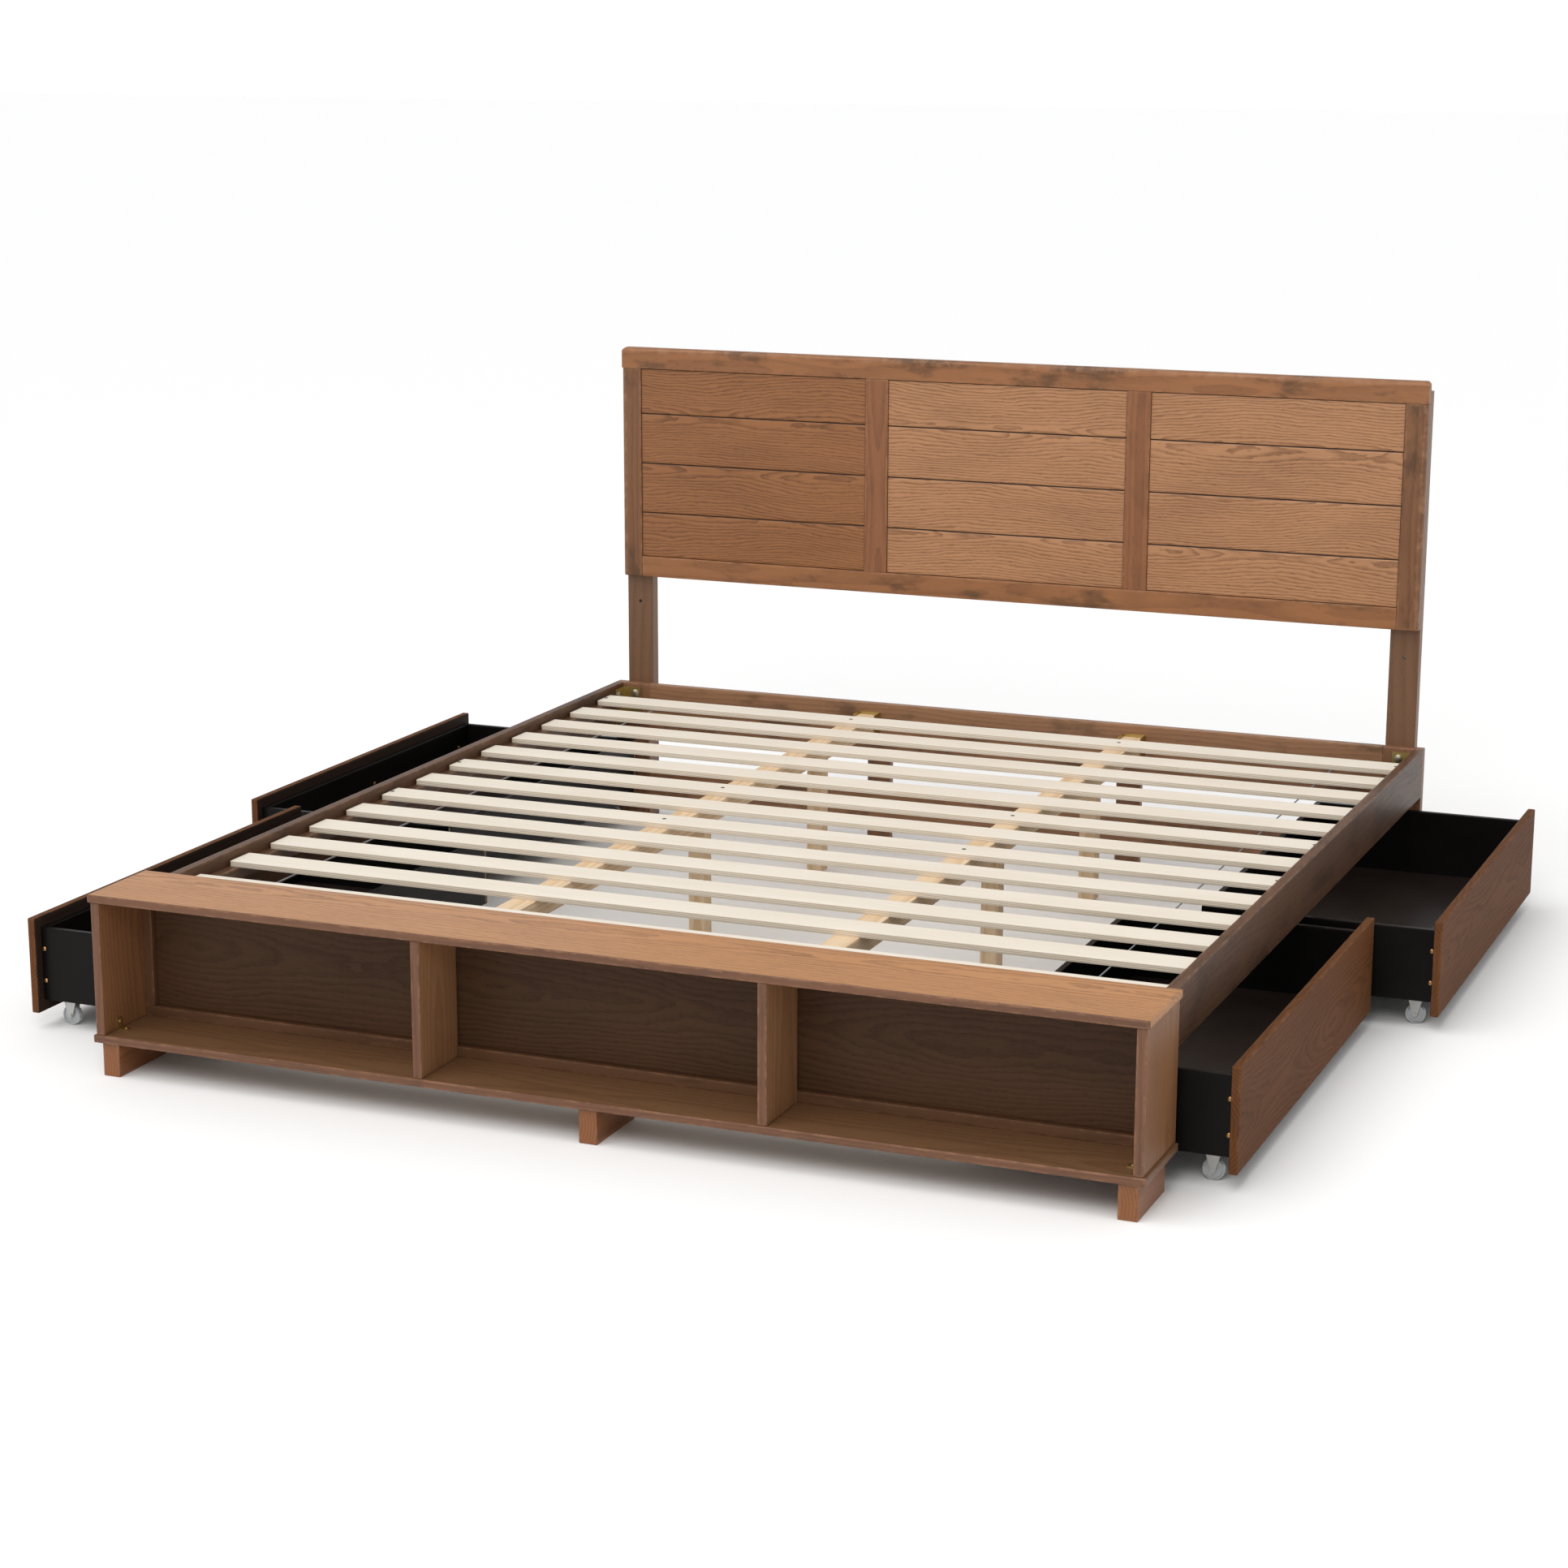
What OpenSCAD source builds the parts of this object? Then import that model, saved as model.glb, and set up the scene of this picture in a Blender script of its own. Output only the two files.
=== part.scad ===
// Platform bed with a shelf footboard, a panelled headboard and four rolling drawers.
// Millimetres, +Z up, +Y towards the headboard, +X to the right seen from the foot.
// The origin lies on the floor, at the centre of the middle foot's underside.

/* [Overall] */
// Clear length for the mattress, from the footboard to the headboard
mattress_l = 2048; // [1900:1:2500]
// Outer distance between the two side rails
frame_w = 1984; // [1500:1:2400]
// Height of the side rails' top edge above the floor
rail_top = 335; // [300:1:450]

/* [Headboard] */
// How far the headboard's ends sit in from the side rails' outer faces
head_inset = 24; // [0:1:60]
// Height of the headboard's top edge above the floor
head_top = 1151; // [900:1:1500]
// Height of the framed panel, from its bottom rail to its top rail
head_panel_h = 550; // [400:1:580]
// Thickness of the headboard's frame
head_t = 25; // [18:1:40]
// Height of the headboard's top and bottom rails
head_rail_h = 49; // [30:1:80]
// Width of the two outer stiles
stile_w = 50; // [30:1:80]
// Width of the two mullions between the panels
mullion_w = 56; // [30:1:90]
// Thickness of the grooved panels
plank_t = 14; // [10:1:16]
// How far the panels sit back from the frame's face
plank_recess = 2.5; // [1:0.5:4]
// Distance between two neighbouring grooves
groove_pitch = 119; // [80:1:140]
// Width of a groove's mouth
groove_w = 4; // [2:0.5:8]
// Rounding of the headboard's outer corners and front edges
head_round = 10; // [4:1:16]
// Width of a headboard post
post_w = 66; // [45:1:90]
// Thickness of a headboard post
post_t = 30; // [20:1:50]
// Height of the open bolt hole in each post
post_hole_z = 535; // [400:1:560]
// Diameter of the open bolt hole in each post
post_hole_d = 8; // [5:0.5:12]

/* [Rails and legs] */
// Thickness of the side rails
rail_t = 20; // [16:1:30]
// Height of the side rails and of the two cross rails
rail_h = 109; // [80:1:140]
// Width of the plank legs at the head corners
head_leg_w = 90; // [70:1:120]
// Thickness of the cross rails and the stretcher
cross_t = 20; // [15:1:22]
// Height of the low stretcher at the head end
stretcher_h = 64; // [40:1:90]
// Height of the stretcher's underside above the floor
stretcher_z = 54; // [30:1:100]
// Width of the plank legs behind the head cross rail
centre_plank_w = 58; // [40:1:80]
// Distance of those plank legs from the middle of the bed
centre_plank_x = 309; // [200:1:400]
// Side of the square strips that carry the slats' ends
ledger = 25; // [18:1:35]

/* [Slats and beams] */
// Width of a slat
slat_w = 70; // [50:1:90]
// Thickness of a slat
slat_t = 12; // [9:1:18]
// Gap between a slat's end and the side rail
slat_end_gap = 6; // [2:1:10]
// Distance from one slat to the next
slat_pitch = 151.5; // [120:0.5:170]
// How far the slats' top lies under the rails' top edge
slat_drop = 15; // [10:1:30]
// Gap between the footboard's top and the first slat
first_slat_gap = 44; // [30:1:60]
// Gap between the footboard's top and the second slat
second_slat_gap = 222; // [200:1:230]
// Width of a lengthwise beam
beam_w = 50; // [38:1:70]
// Height of a lengthwise beam
beam_h = 38; // [30:1:50]
// Distance of the beams from the middle of the bed
beam_x = 326; // [200:1:400]
// Side of the square legs under the beams
leg_w = 37; // [30:1:50]
// Distance from the head end to the last leg under a beam
leg_back = 334; // [200:1:500]
// Distance from one beam leg to the next
leg_pitch = 670; // [500:1:700]
// Height of the plastic glide under a beam leg
glide_h = 6; // [4:1:12]
// Diameter of the two cords that tie the slats together
strap_d = 3; // [2:0.5:4]

/* [Footboard] */
// How far the footboard's top and bottom boards stand out past its ends
shelf_overhang = 5; // [2:1:20]
// Depth of the footboard
foot_d = 196; // [170:1:260]
// Thickness of the footboard's top and bottom boards
shelf_t = 15; // [12:1:22]
// Thickness of the footboard's ends and dividers
upright_t = 18; // [12:1:22]
// How far the ends and dividers sit back from the front edge
upright_setback = 3; // [2:1:12]
// Depth from the front edge to the frame behind the bays
bay_depth = 143; // [120:1:145]
// Width of the strips around the back panel
strip_w = 20; // [14:1:30]
// Thickness of the strips around the back panel
strip_t = 18; // [14:1:19]
// Thickness of the back panel
back_t = 6; // [4:1:8]
// Height of the plank feet under the footboard
foot_h = 65; // [50:1:90]
// Thickness of a plank foot
plank_foot_t = 35; // [25:1:50]
// Length of a plank foot
plank_foot_l = 160; // [120:1:165]
// How far the feet sit back from the front edge
plank_foot_setback = 8; // [4:1:30]
// How far the outer feet sit in from the ends of the boards
plank_foot_inset = 14; // [8:1:60]

/* [Drawers] */
// Depth of a drawer from its front's face to the back of its box
drawer_depth = 484; // [350:1:600]
// Thickness of a drawer's wooden front
drawer_front_t = 16; // [12:1:20]
// Height of a drawer front's lower edge above the floor
drawer_front_z = 33; // [20:1:45]
// Gap between a drawer front and the rail above it
front_gap = 2; // [2:0.5:6]
// Gap between a drawer front and the footboard or the head leg
end_gap = 5; // [3:1:12]
// Gap between the two drawer fronts on one side
mid_gap = 12; // [6:1:30]
// How far the box sits in from each end of its front
box_inset = 20; // [10:1:40]
// How far the box walls end below the top edge of the front
box_drop = 22; // [10:1:40]
// Thickness of the box walls
wall_t = 12; // [9:1:18]
// Thickness of the box bottom
bottom_t = 6; // [4:1:12]
// Height of the box underside above the floor
box_z = 56; // [48:1:60]
// How far each drawer stands open, right front
open_rf = 125; // [0:1:470]
// How far each drawer stands open, right back
open_rb = 255; // [0:1:470]
// How far each drawer stands open, left front
open_lf = 301; // [0:1:470]
// How far each drawer stands open, left back
open_lb = 421; // [0:1:470]

/* [Casters] */
// Diameter of a caster wheel
wheel_d = 40; // [32:1:42]
// Width of a caster wheel
wheel_w = 14; // [10:1:18]
// Diameter of a wheel's axle
axle_d = 5; // [4:0.5:6]
// Running clearance around the axle, on the radius
axle_clear = 0.06; // [0.02:0.01:0.1]
// Distance of the front casters from the face of the drawer's front
caster_front = 55; // [45:1:90]
// Distance of the back casters from the back of the box
caster_back = 45; // [35:1:90]
// Distance of the casters from the ends of the box
caster_end = 37; // [30:1:80]

/* [Hidden] */

// Colours
walnut = [0.47, 0.30, 0.20];
walnut_dark = [0.33, 0.22, 0.16];
poplar = [0.88, 0.81, 0.71];
pine = [0.84, 0.70, 0.50];
laminate = [0.07, 0.07, 0.07];
laminate_brown = [0.17, 0.13, 0.12];
zinc = [0.78, 0.70, 0.42];
steel = [0.66, 0.66, 0.64];
cord_grey = [0.45, 0.46, 0.47];
clear_grey = [0.72, 0.75, 0.77];
black_plastic = [0.05, 0.05, 0.05];

// Small parts
ease = 1.5;
plate_t = 3;
bracket_leg = 48;
bracket_edge = 10;
leg_bolt_z = 117;
bolt_edge = 35;
leg_drop = 5;
hanger_t = 2;
hanger_l = 40;
hanger_up = 6;
hanger_gap = 0.2;
shelf_bracket = 22;
shelf_bracket_w = 16;
shelf_bracket_y = 45;
strap_in = 144;
last_slat_gap = 60;
front_bolt_in = 60;
fork_t = 1.5;
fork_gap = 1;
ear_wall = 2.5;
ear_top_w = 30;
rivet_h = 1.5;
rivet_lip = 1.2;
hub_wall = 3;
web_in = 2.5;
tyre_t = 4;
tyre_in = 0.5;
caster_plate = 42;
caster_plate_w = 34;
caster_plate_t = 2;
round_fn = 32;
wheel_fn = 64;

// Places along the bed
y_front = -(plank_foot_setback + plank_foot_l / 2);
y_bed = y_front + foot_d;
y_head = y_bed + mattress_l;
y_post = y_head + head_t;
y_bay = y_front + bay_depth;
y_strip = y_bay + strip_t;

// Places across the bed
x_rail = frame_w / 2;
x_rail_in = x_rail - rail_t;
x_leg_in = x_rail - head_leg_w;
x_end_in = x_rail;
foot_w = frame_w + 2 * (upright_t + shelf_overhang);
head_w = frame_w - 2 * head_inset;
slat_l = 2 * (x_rail_in - slat_end_gap);
x_stile_in = head_w / 2 - stile_w;
x_post_in = head_w / 2 - post_w;
plank_w = (2 * x_stile_in - 2 * mullion_w) / 3;
x_mullion = (plank_w + mullion_w) / 2;
bay_w = (2 * x_end_in - 2 * upright_t) / 3;
x_divider = (bay_w + upright_t) / 2;
x_strap = slat_l / 2 - strap_in;
x_ledger_mid = x_rail_in - ledger / 2;

// Heights
z_rail = rail_top - rail_h;
z_slat = rail_top - slat_drop - slat_t;
z_ledger = z_slat - ledger;
z_beam = z_slat - beam_h;
z_head = head_top - head_panel_h;
z_shelf = foot_h + shelf_t;
z_front_top = z_rail - front_gap;
box_h = z_front_top - box_drop - box_z;

// Slats: the first one lies closer to the footboard, the others share one pitch
slat_y2 = y_bed + second_slat_gap;
slat_count = 1 + floor((y_head - last_slat_gap - slat_w - slat_y2) / slat_pitch);
slat_y = concat([y_bed + first_slat_gap], [for (i = [0 : slat_count - 1]) slat_y2 + i * slat_pitch]);
screwed_slats = [5, 7, len(slat_y) - 1];
leg_y = [for (i = [1, 0]) y_head - leg_back - i * leg_pitch];

// Drawers
front_l = (mattress_l - 2 * end_gap - mid_gap) / 2;
y_near = y_bed + end_gap;
y_far = y_near + front_l + mid_gap;
box_l = front_l - 2 * box_inset;
axle_z = wheel_d / 2;

// Fasteners: head radius, head height, shank radius
frame_bolt = [9, 6, 3];
post_bolt = [8, 4, 3];
box_bolt = [4.5, 2.5, 1.5];
front_bolt = [5, 2.5, 2];
wood_screw = [4.5, 1, 2];
small_screw = [4, 2, 1.5];

// A rectangle with its four corners rounded
module eased(w, h, r) {
    translate([r, 0])
        square([w - 2 * r, h]);
    translate([0, r])
        square([w, h - 2 * r]);
    for (x = [r, w - r], y = [r, h - r])
        translate([x, y])
            circle(r = r, $fn = round_fn);
}

// A board between two corners, with the four edges along one axis eased
module board(lo, hi, along = "x", r = ease) {
    s = hi - lo;
    if (along == "x")
        translate(lo)
            rotate([90, 0, 90])
                linear_extrude(s.x)
                    eased(s.y, s.z, r);
    if (along == "y")
        translate([lo.x, hi.y, lo.z])
            rotate([90, 0, 0])
                linear_extrude(s.y)
                    eased(s.x, s.z, r);
    if (along == "z")
        translate(lo)
            linear_extrude(s.z)
                eased(s.x, s.y, r);
}

// Both sides of the bed
module both_sides() {
    children();
    mirror([1, 0, 0])
        children();
}

// A fastener with a domed head, standing on its shank, its head's underside at z = 0
module fastener(kind, shank_l) {
    r = kind[0];
    h = kind[1];
    rotate_extrude($fn = round_fn)
        polygon([
            [0, -shank_l], [kind[2], -shank_l], [kind[2], 0], [r, 0],
            [r, 0.4 * h], [0.7 * r, 0.85 * h], [0.3 * r, h], [0, h]
        ]);
}

// ---- Headboard ----

// Top rail over the whole width, with rounded corners and a rounded front edge
module headboard_top_rail() {
    r = head_round;
    color(walnut)
        intersection() {
            translate([-head_w / 2, y_post, head_top - head_rail_h])
                rotate([90, 0, 0])
                    linear_extrude(head_t)
                        union() {
                            square([head_w, head_rail_h - r]);
                            translate([r, 0])
                                square([head_w - 2 * r, head_rail_h]);
                            for (x = [r, head_w - r])
                                translate([x, head_rail_h - r])
                                    circle(r = r, $fn = round_fn);
                        }
            translate([-head_w / 2, y_head, head_top - head_rail_h])
                rotate([90, 0, 90])
                    linear_extrude(head_w)
                        union() {
                            square([head_t, head_rail_h - r]);
                            translate([r, 0])
                                square([head_t - r, head_rail_h]);
                            translate([r, head_rail_h - r])
                                circle(r = r, $fn = round_fn);
                        }
        }
}

module headboard_bottom_rail() {
    color(walnut)
        board([-x_stile_in, y_head, z_head], [x_stile_in, y_post, z_head + head_rail_h], "x");
}

// Outer stiles under the top rail, each with a rounded outer front edge
module headboard_stiles() {
    r = head_round;
    color(walnut)
        both_sides()
            translate([x_stile_in, y_head, z_head])
                linear_extrude(head_panel_h - head_rail_h)
                    union() {
                        square([stile_w - r, head_t]);
                        translate([0, r])
                            square([stile_w, head_t - r]);
                        translate([stile_w - r, r])
                            circle(r = r, $fn = round_fn);
                    }
}

module headboard_mullions() {
    color(walnut)
        both_sides()
            board([x_mullion - mullion_w / 2, y_head, z_head + head_rail_h],
                  [x_mullion + mullion_w / 2, y_post, head_top - head_rail_h], "z");
}

// Three veneered panels, each cut into four planks by three V-grooves
module headboard_panels() {
    h = head_panel_h - 2 * head_rail_h;
    z_mid = z_head + head_rail_h + h / 2;
    side = groove_w / sqrt(2);
    color(walnut)
        for (i = [-1, 0, 1])
            difference() {
                translate([i * (plank_w + mullion_w) - plank_w / 2, y_head + plank_recess,
                           z_head + head_rail_h])
                    cube([plank_w, plank_t, h]);
                for (j = [-1, 0, 1])
                    translate([i * (plank_w + mullion_w) - plank_w / 2 - 1, y_head + plank_recess,
                               z_mid + j * groove_pitch])
                        rotate([45, 0, 0])
                            translate([0, -side / 2, -side / 2])
                                cube([plank_w + 2, side, side]);
            }
}

// Two posts behind the panel, from the floor up, each with an open bolt hole
module headboard_posts() {
    color(walnut_dark)
        both_sides()
            difference() {
                board([x_post_in, y_post, 0],
                      [head_w / 2, y_post + post_t, head_top - head_rail_h / 2], "z");
                translate([x_post_in + post_w / 2, y_post - 1, post_hole_z])
                    rotate([-90, 0, 0])
                        cylinder(d = post_hole_d, h = post_t + 2, $fn = wheel_fn);
            }
}

// Bolts from behind: two hold each post to its stile and two hold it to its corner leg
module headboard_bolts() {
    x = x_stile_in + stile_w / 2;
    color(zinc)
        both_sides()
            for (z = [leg_bolt_z, rail_top - bolt_edge, z_head + 2 * bolt_edge, head_top - 3 * bolt_edge])
                translate([x, y_post + post_t, z])
                    rotate([-90, 0, 0])
                        fastener(post_bolt, post_t + 0.6 * head_t);
}

// ---- Rails, legs, beams ----

module side_rail() {
    board([x_rail_in, y_strip, z_rail], [x_rail, y_head, rail_top], "y");
}

module side_rail_left() {
    color(walnut)
        mirror([1, 0, 0])
            side_rail();
}

module side_rail_right() {
    color(walnut)
        side_rail();
}

// Strips screwed inside the side rails for the slats' ends
module slat_ledgers() {
    color(walnut_dark)
        both_sides()
            board([x_rail_in - ledger, y_strip + cross_t + bracket_leg + plate_t, z_ledger],
                  [x_rail_in, y_head - bracket_leg - bracket_edge, z_slat], "y");
}

// Upper cross rail between the head legs
module head_cross_rail() {
    color(walnut)
        board([-x_leg_in, y_head, z_rail], [x_leg_in, y_head + cross_t, rail_top], "x");
}

// Low stretcher between the head legs
module head_stretcher() {
    color(walnut)
        board([-x_leg_in, y_head, stretcher_z],
              [x_leg_in, y_head + cross_t, stretcher_z + stretcher_h], "x");
}

module head_legs() {
    color(walnut)
        both_sides()
            board([x_leg_in, y_head, 0], [x_rail, y_post, rail_top], "z");
}

// Plank legs screwed behind the cross rail and the stretcher
module head_centre_legs() {
    color(walnut)
        both_sides()
            board([centre_plank_x - centre_plank_w / 2, y_head + cross_t, 0],
                  [centre_plank_x + centre_plank_w / 2, y_head + 2 * cross_t, rail_top - leg_drop], "z");
}

// Cross rail behind the footboard, between the side rails
module foot_cross_rail() {
    color(walnut_dark)
        board([-x_rail_in, y_strip, z_rail], [x_rail_in, y_strip + cross_t, rail_top], "x");
}

// Two pine beams from the foot cross rail to the head cross rail
module centre_beams() {
    color(pine)
        both_sides()
            board([beam_x - beam_w / 2, y_strip + cross_t + hanger_t, z_beam],
                  [beam_x + beam_w / 2, y_head - hanger_t, z_slat], "y");
}

// U-shaped sheet hangers hold both ends of each beam
module hanger() {
    w = beam_w / 2 + hanger_gap;
    h = hanger_t + beam_h + hanger_up;
    translate([-w - hanger_t, 0, z_beam - hanger_t]) {
        cube([2 * (w + hanger_t), hanger_l, hanger_t]);
        cube([2 * (w + hanger_t), hanger_t, h]);
        for (x = [0, 2 * w + hanger_t])
            translate([x, 0, 0])
                cube([hanger_t, hanger_l, h]);
    }
}

module beam_hangers() {
    color(zinc)
        both_sides() {
            translate([beam_x, y_strip + cross_t, 0])
                hanger();
            translate([beam_x, y_head, 0])
                mirror([0, 1, 0])
                    hanger();
        }
}

module centre_legs() {
    color(pine)
        both_sides()
            for (y = leg_y)
                board([beam_x - leg_w / 2, y - leg_w / 2, glide_h],
                      [beam_x + leg_w / 2, y + leg_w / 2, z_beam], "z");
}

module leg_glides() {
    color(black_plastic)
        both_sides()
            for (y = leg_y)
                translate([beam_x, y, 0])
                    cylinder(d1 = 0.6 * leg_w, d2 = 0.7 * leg_w, h = glide_h, $fn = round_fn);
}

// Angle brackets in the four inner corners: [y of the corner, direction into the bed]
corners = [[y_strip + cross_t, 1], [y_head, -1]];

module corner_brackets() {
    h = rail_h - 2 * bracket_edge;
    color(zinc)
        both_sides()
            for (c = corners)
                translate([x_rail_in, c[0], z_rail + bracket_edge])
                    mirror([0, c[1] > 0 ? 0 : 1, 0]) {
                        translate([-plate_t, 0, 0])
                            cube([plate_t, bracket_leg, h]);
                        translate([-bracket_leg, 0, 0])
                            cube([bracket_leg, plate_t, h]);
                    }
}

module corner_bolts() {
    d = bracket_leg - 1.6 * frame_bolt[0];
    color(steel)
        both_sides()
            for (c = corners, z = [z_rail + 2.4 * bracket_edge, rail_top - 2.4 * bracket_edge]) {
                translate([x_rail_in - plate_t, c[0] + c[1] * d, z])
                    rotate([0, -90, 0])
                        fastener(frame_bolt, plate_t + 0.6 * rail_t);
                translate([x_rail_in - d, c[0] + c[1] * plate_t, z])
                    rotate([-c[1] * 90, 0, 0])
                        fastener(frame_bolt, plate_t + 0.6 * cross_t);
            }
}

// ---- Slats ----

module slats() {
    color(poplar)
        for (y = slat_y)
            board([-slat_l / 2, y, z_slat], [slat_l / 2, y + slat_w, z_slat + slat_t], "x", 1);
}

// Some slats are screwed down to the ledgers and the beams, the others only rest there
module slat_screws() {
    color(steel)
        both_sides()
            for (i = screwed_slats, x = [beam_x, x_ledger_mid])
                translate([x, slat_y[i] + slat_w / 2, z_slat + slat_t])
                    fastener(wood_screw, slat_t + 0.6 * ledger);
}

// Two cords stapled under the slats keep their spacing
module slat_straps() {
    y0 = slat_y[0];
    color(cord_grey)
        both_sides()
            translate([x_strap, y0, z_slat - strap_d / 2])
                rotate([-90, 0, 0])
                    cylinder(d = strap_d, h = slat_y[len(slat_y) - 1] + slat_w - y0, $fn = round_fn);
}

// ---- Footboard ----

module footboard_top() {
    color(walnut)
        board([-foot_w / 2, y_front, rail_top], [foot_w / 2, y_bed, rail_top + shelf_t], "x", 2);
}

module footboard_bottom() {
    color(walnut)
        board([-foot_w / 2, y_front, foot_h], [foot_w / 2, y_bed, z_shelf], "x", 2);
}

module footboard_ends() {
    color(walnut)
        both_sides()
            board([x_end_in, y_front + upright_setback, z_shelf],
                  [x_end_in + upright_t, y_bed, rail_top], "z");
}

module footboard_dividers() {
    color(walnut)
        both_sides()
            board([x_divider - upright_t / 2, y_front + upright_setback, z_shelf],
                  [x_divider + upright_t / 2, y_bay, rail_top], "z");
}

// Thin panel behind the three bays, held in the strips
module footboard_back_panel() {
    color(walnut_dark)
        translate([-x_end_in + strip_w, y_strip - back_t, z_shelf + strip_w])
            cube([2 * (x_end_in - strip_w), back_t, rail_top - z_shelf - 2 * strip_w]);
}

// Four strips around the back panel
module footboard_back_frame() {
    color(walnut_dark) {
        for (z = [z_shelf, rail_top - strip_w])
            translate([-x_end_in, y_bay, z])
                cube([2 * x_end_in, strip_t, strip_w]);
        both_sides()
            translate([x_end_in - strip_w, y_bay, z_shelf + strip_w])
                cube([strip_w, strip_t, rail_top - z_shelf - 2 * strip_w]);
    }
}

module footboard_feet() {
    x_outer = foot_w / 2 - plank_foot_inset - plank_foot_t / 2;
    color(walnut)
        for (x = [-x_outer, 0, x_outer])
            board([x - plank_foot_t / 2, -plank_foot_l / 2, 0],
                  [x + plank_foot_t / 2, plank_foot_l / 2, foot_h], "z");
}

// Small angle brackets that tie the ends to the bottom board
module footboard_brackets() {
    size = shelf_bracket;
    w = shelf_bracket_w;
    t = hanger_t;
    y = y_front + shelf_bracket_y;
    color(zinc)
        both_sides() {
            translate([x_end_in - t, y, z_shelf])
                cube([t, w, size]);
            translate([x_end_in - size, y, z_shelf])
                cube([size, w, t]);
            translate([x_end_in - t, y + w / 2, z_shelf + 0.65 * size])
                rotate([0, -90, 0])
                    fastener(small_screw, 0.6 * upright_t);
            translate([x_end_in - 0.65 * size, y + w / 2, z_shelf + t])
                fastener(small_screw, 0.6 * shelf_t);
        }
}

// ---- Drawers ----
// Each drawer is drawn on the right, pulled out by open from its closed place.

// Put a drawer drawn on the right onto the wanted side
module drawer_side(right) {
    if (right)
        children();
    else
        mirror([1, 0, 0])
            children();
}

module drawer_front(right, y, open) {
    x = x_rail + open;
    color(walnut)
        drawer_side(right)
            board([x - drawer_front_t, y, drawer_front_z], [x, y + front_l, z_front_top], "y", 2);
}

// Two full-depth sides with the front and back boards between them
module drawer_walls(right, y, open) {
    x0 = x_rail - drawer_depth + open;
    x1 = x_rail - drawer_front_t + open;
    y0 = y + box_inset;
    y1 = y0 + box_l;
    color(laminate)
        drawer_side(right) {
            for (side_y = [y0, y1 - wall_t])
                translate([x0, side_y, box_z])
                    cube([x1 - x0, wall_t, box_h]);
            for (end_x = [x0, x1 - wall_t])
                translate([end_x, y0 + wall_t, box_z])
                    cube([wall_t, box_l - 2 * wall_t, box_h]);
        }
}

module drawer_bottom(right, y, open) {
    x0 = x_rail - drawer_depth + open + wall_t;
    x1 = x_rail - drawer_front_t + open - wall_t;
    color(laminate_brown)
        drawer_side(right)
            translate([x0, y + box_inset + wall_t, box_z])
                cube([x1 - x0, box_l - 2 * wall_t, bottom_t]);
}

// Rows of fixed casters run near the front and near the back: place children at their axles
module caster_places(right, y, open, rows) {
    x_rows = [x_rail + open - caster_front, x_rail - drawer_depth + open + caster_back];
    drawer_side(right)
        for (row = rows, yc = [y + box_inset + caster_end, y + box_inset + box_l - caster_end])
            translate([x_rows[row], yc, axle_z])
                rotate([-90, 0, 0])
                    children();
}

// Fork with its top plate and its riveted axle
module caster_fork() {
    half = wheel_w / 2 + fork_gap;
    top = box_z - axle_z - caster_plate_t;
    ear_r = axle_d / 2 + ear_wall;
    top_half = ear_top_w / 2;
    for (s = [-1, 1])
        translate([0, 0, s > 0 ? half : -half - fork_t])
            linear_extrude(fork_t)
                union() {
                    circle(r = ear_r, $fn = round_fn);
                    polygon([[-ear_r, 0], [ear_r, 0], [top_half, -top], [-top_half, -top]]);
                }
    translate([-caster_plate / 2, -top - caster_plate_t, -caster_plate_w / 2])
        cube([caster_plate, caster_plate_t, caster_plate_w]);
    cylinder(d = axle_d, h = 2 * (half + fork_t), center = true, $fn = round_fn);
    for (s = [-1, 1])
        translate([0, 0, s * (half + fork_t + rivet_h / 2)])
            cylinder(r = axle_d / 2 + rivet_lip, h = rivet_h, center = true, $fn = round_fn);
}

module drawer_casters(right, y, open) {
    color(steel)
        caster_places(right, y, open, [0, 1])
            caster_fork();
}

// Solid plastic wheel with rounded tyre edges and a recessed web
module wheel() {
    r = wheel_d / 2;
    h = wheel_w / 2;
    bore = axle_d / 2 + axle_clear;
    hub = axle_d / 2 + hub_wall;
    side = [
        [bore, h], [hub, h], [hub + 1, h - web_in], [r - tyre_t - 1, h - web_in],
        [r - tyre_t, h - tyre_in], [r - 2, h - tyre_in], [r - tyre_in, h - 2], [r, h - tyre_t]
    ];
    rotate_extrude($fn = wheel_fn)
        polygon(concat(side, [for (i = [len(side) - 1 : -1 : 0]) [side[i][0], -side[i][1]]]));
}

module drawer_wheels(right, y, open, row) {
    color(clear_grey)
        caster_places(right, y, open, [row])
            wheel();
}

// Bolts through the sides into the front board, and through the front board into the front
module drawer_bolts(right, y, open) {
    x1 = x_rail - drawer_front_t + open;
    y0 = y + box_inset;
    color(zinc)
        drawer_side(right) {
            for (z = [box_z + 0.27 * box_h, box_z + 0.71 * box_h]) {
                translate([x1 - wall_t / 2, y0, z])
                    rotate([90, 0, 0])
                        fastener(box_bolt, 2 * wall_t);
                translate([x1 - wall_t / 2, y0 + box_l, z])
                    rotate([-90, 0, 0])
                        fastener(box_bolt, 2 * wall_t);
            }
            for (yb = [y0 + front_bolt_in, y0 + box_l / 2, y0 + box_l - front_bolt_in])
                translate([x1 - wall_t, yb, box_z + 0.66 * box_h])
                    rotate([0, -90, 0])
                        fastener(front_bolt, wall_t + 0.7 * drawer_front_t);
        }
}

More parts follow.
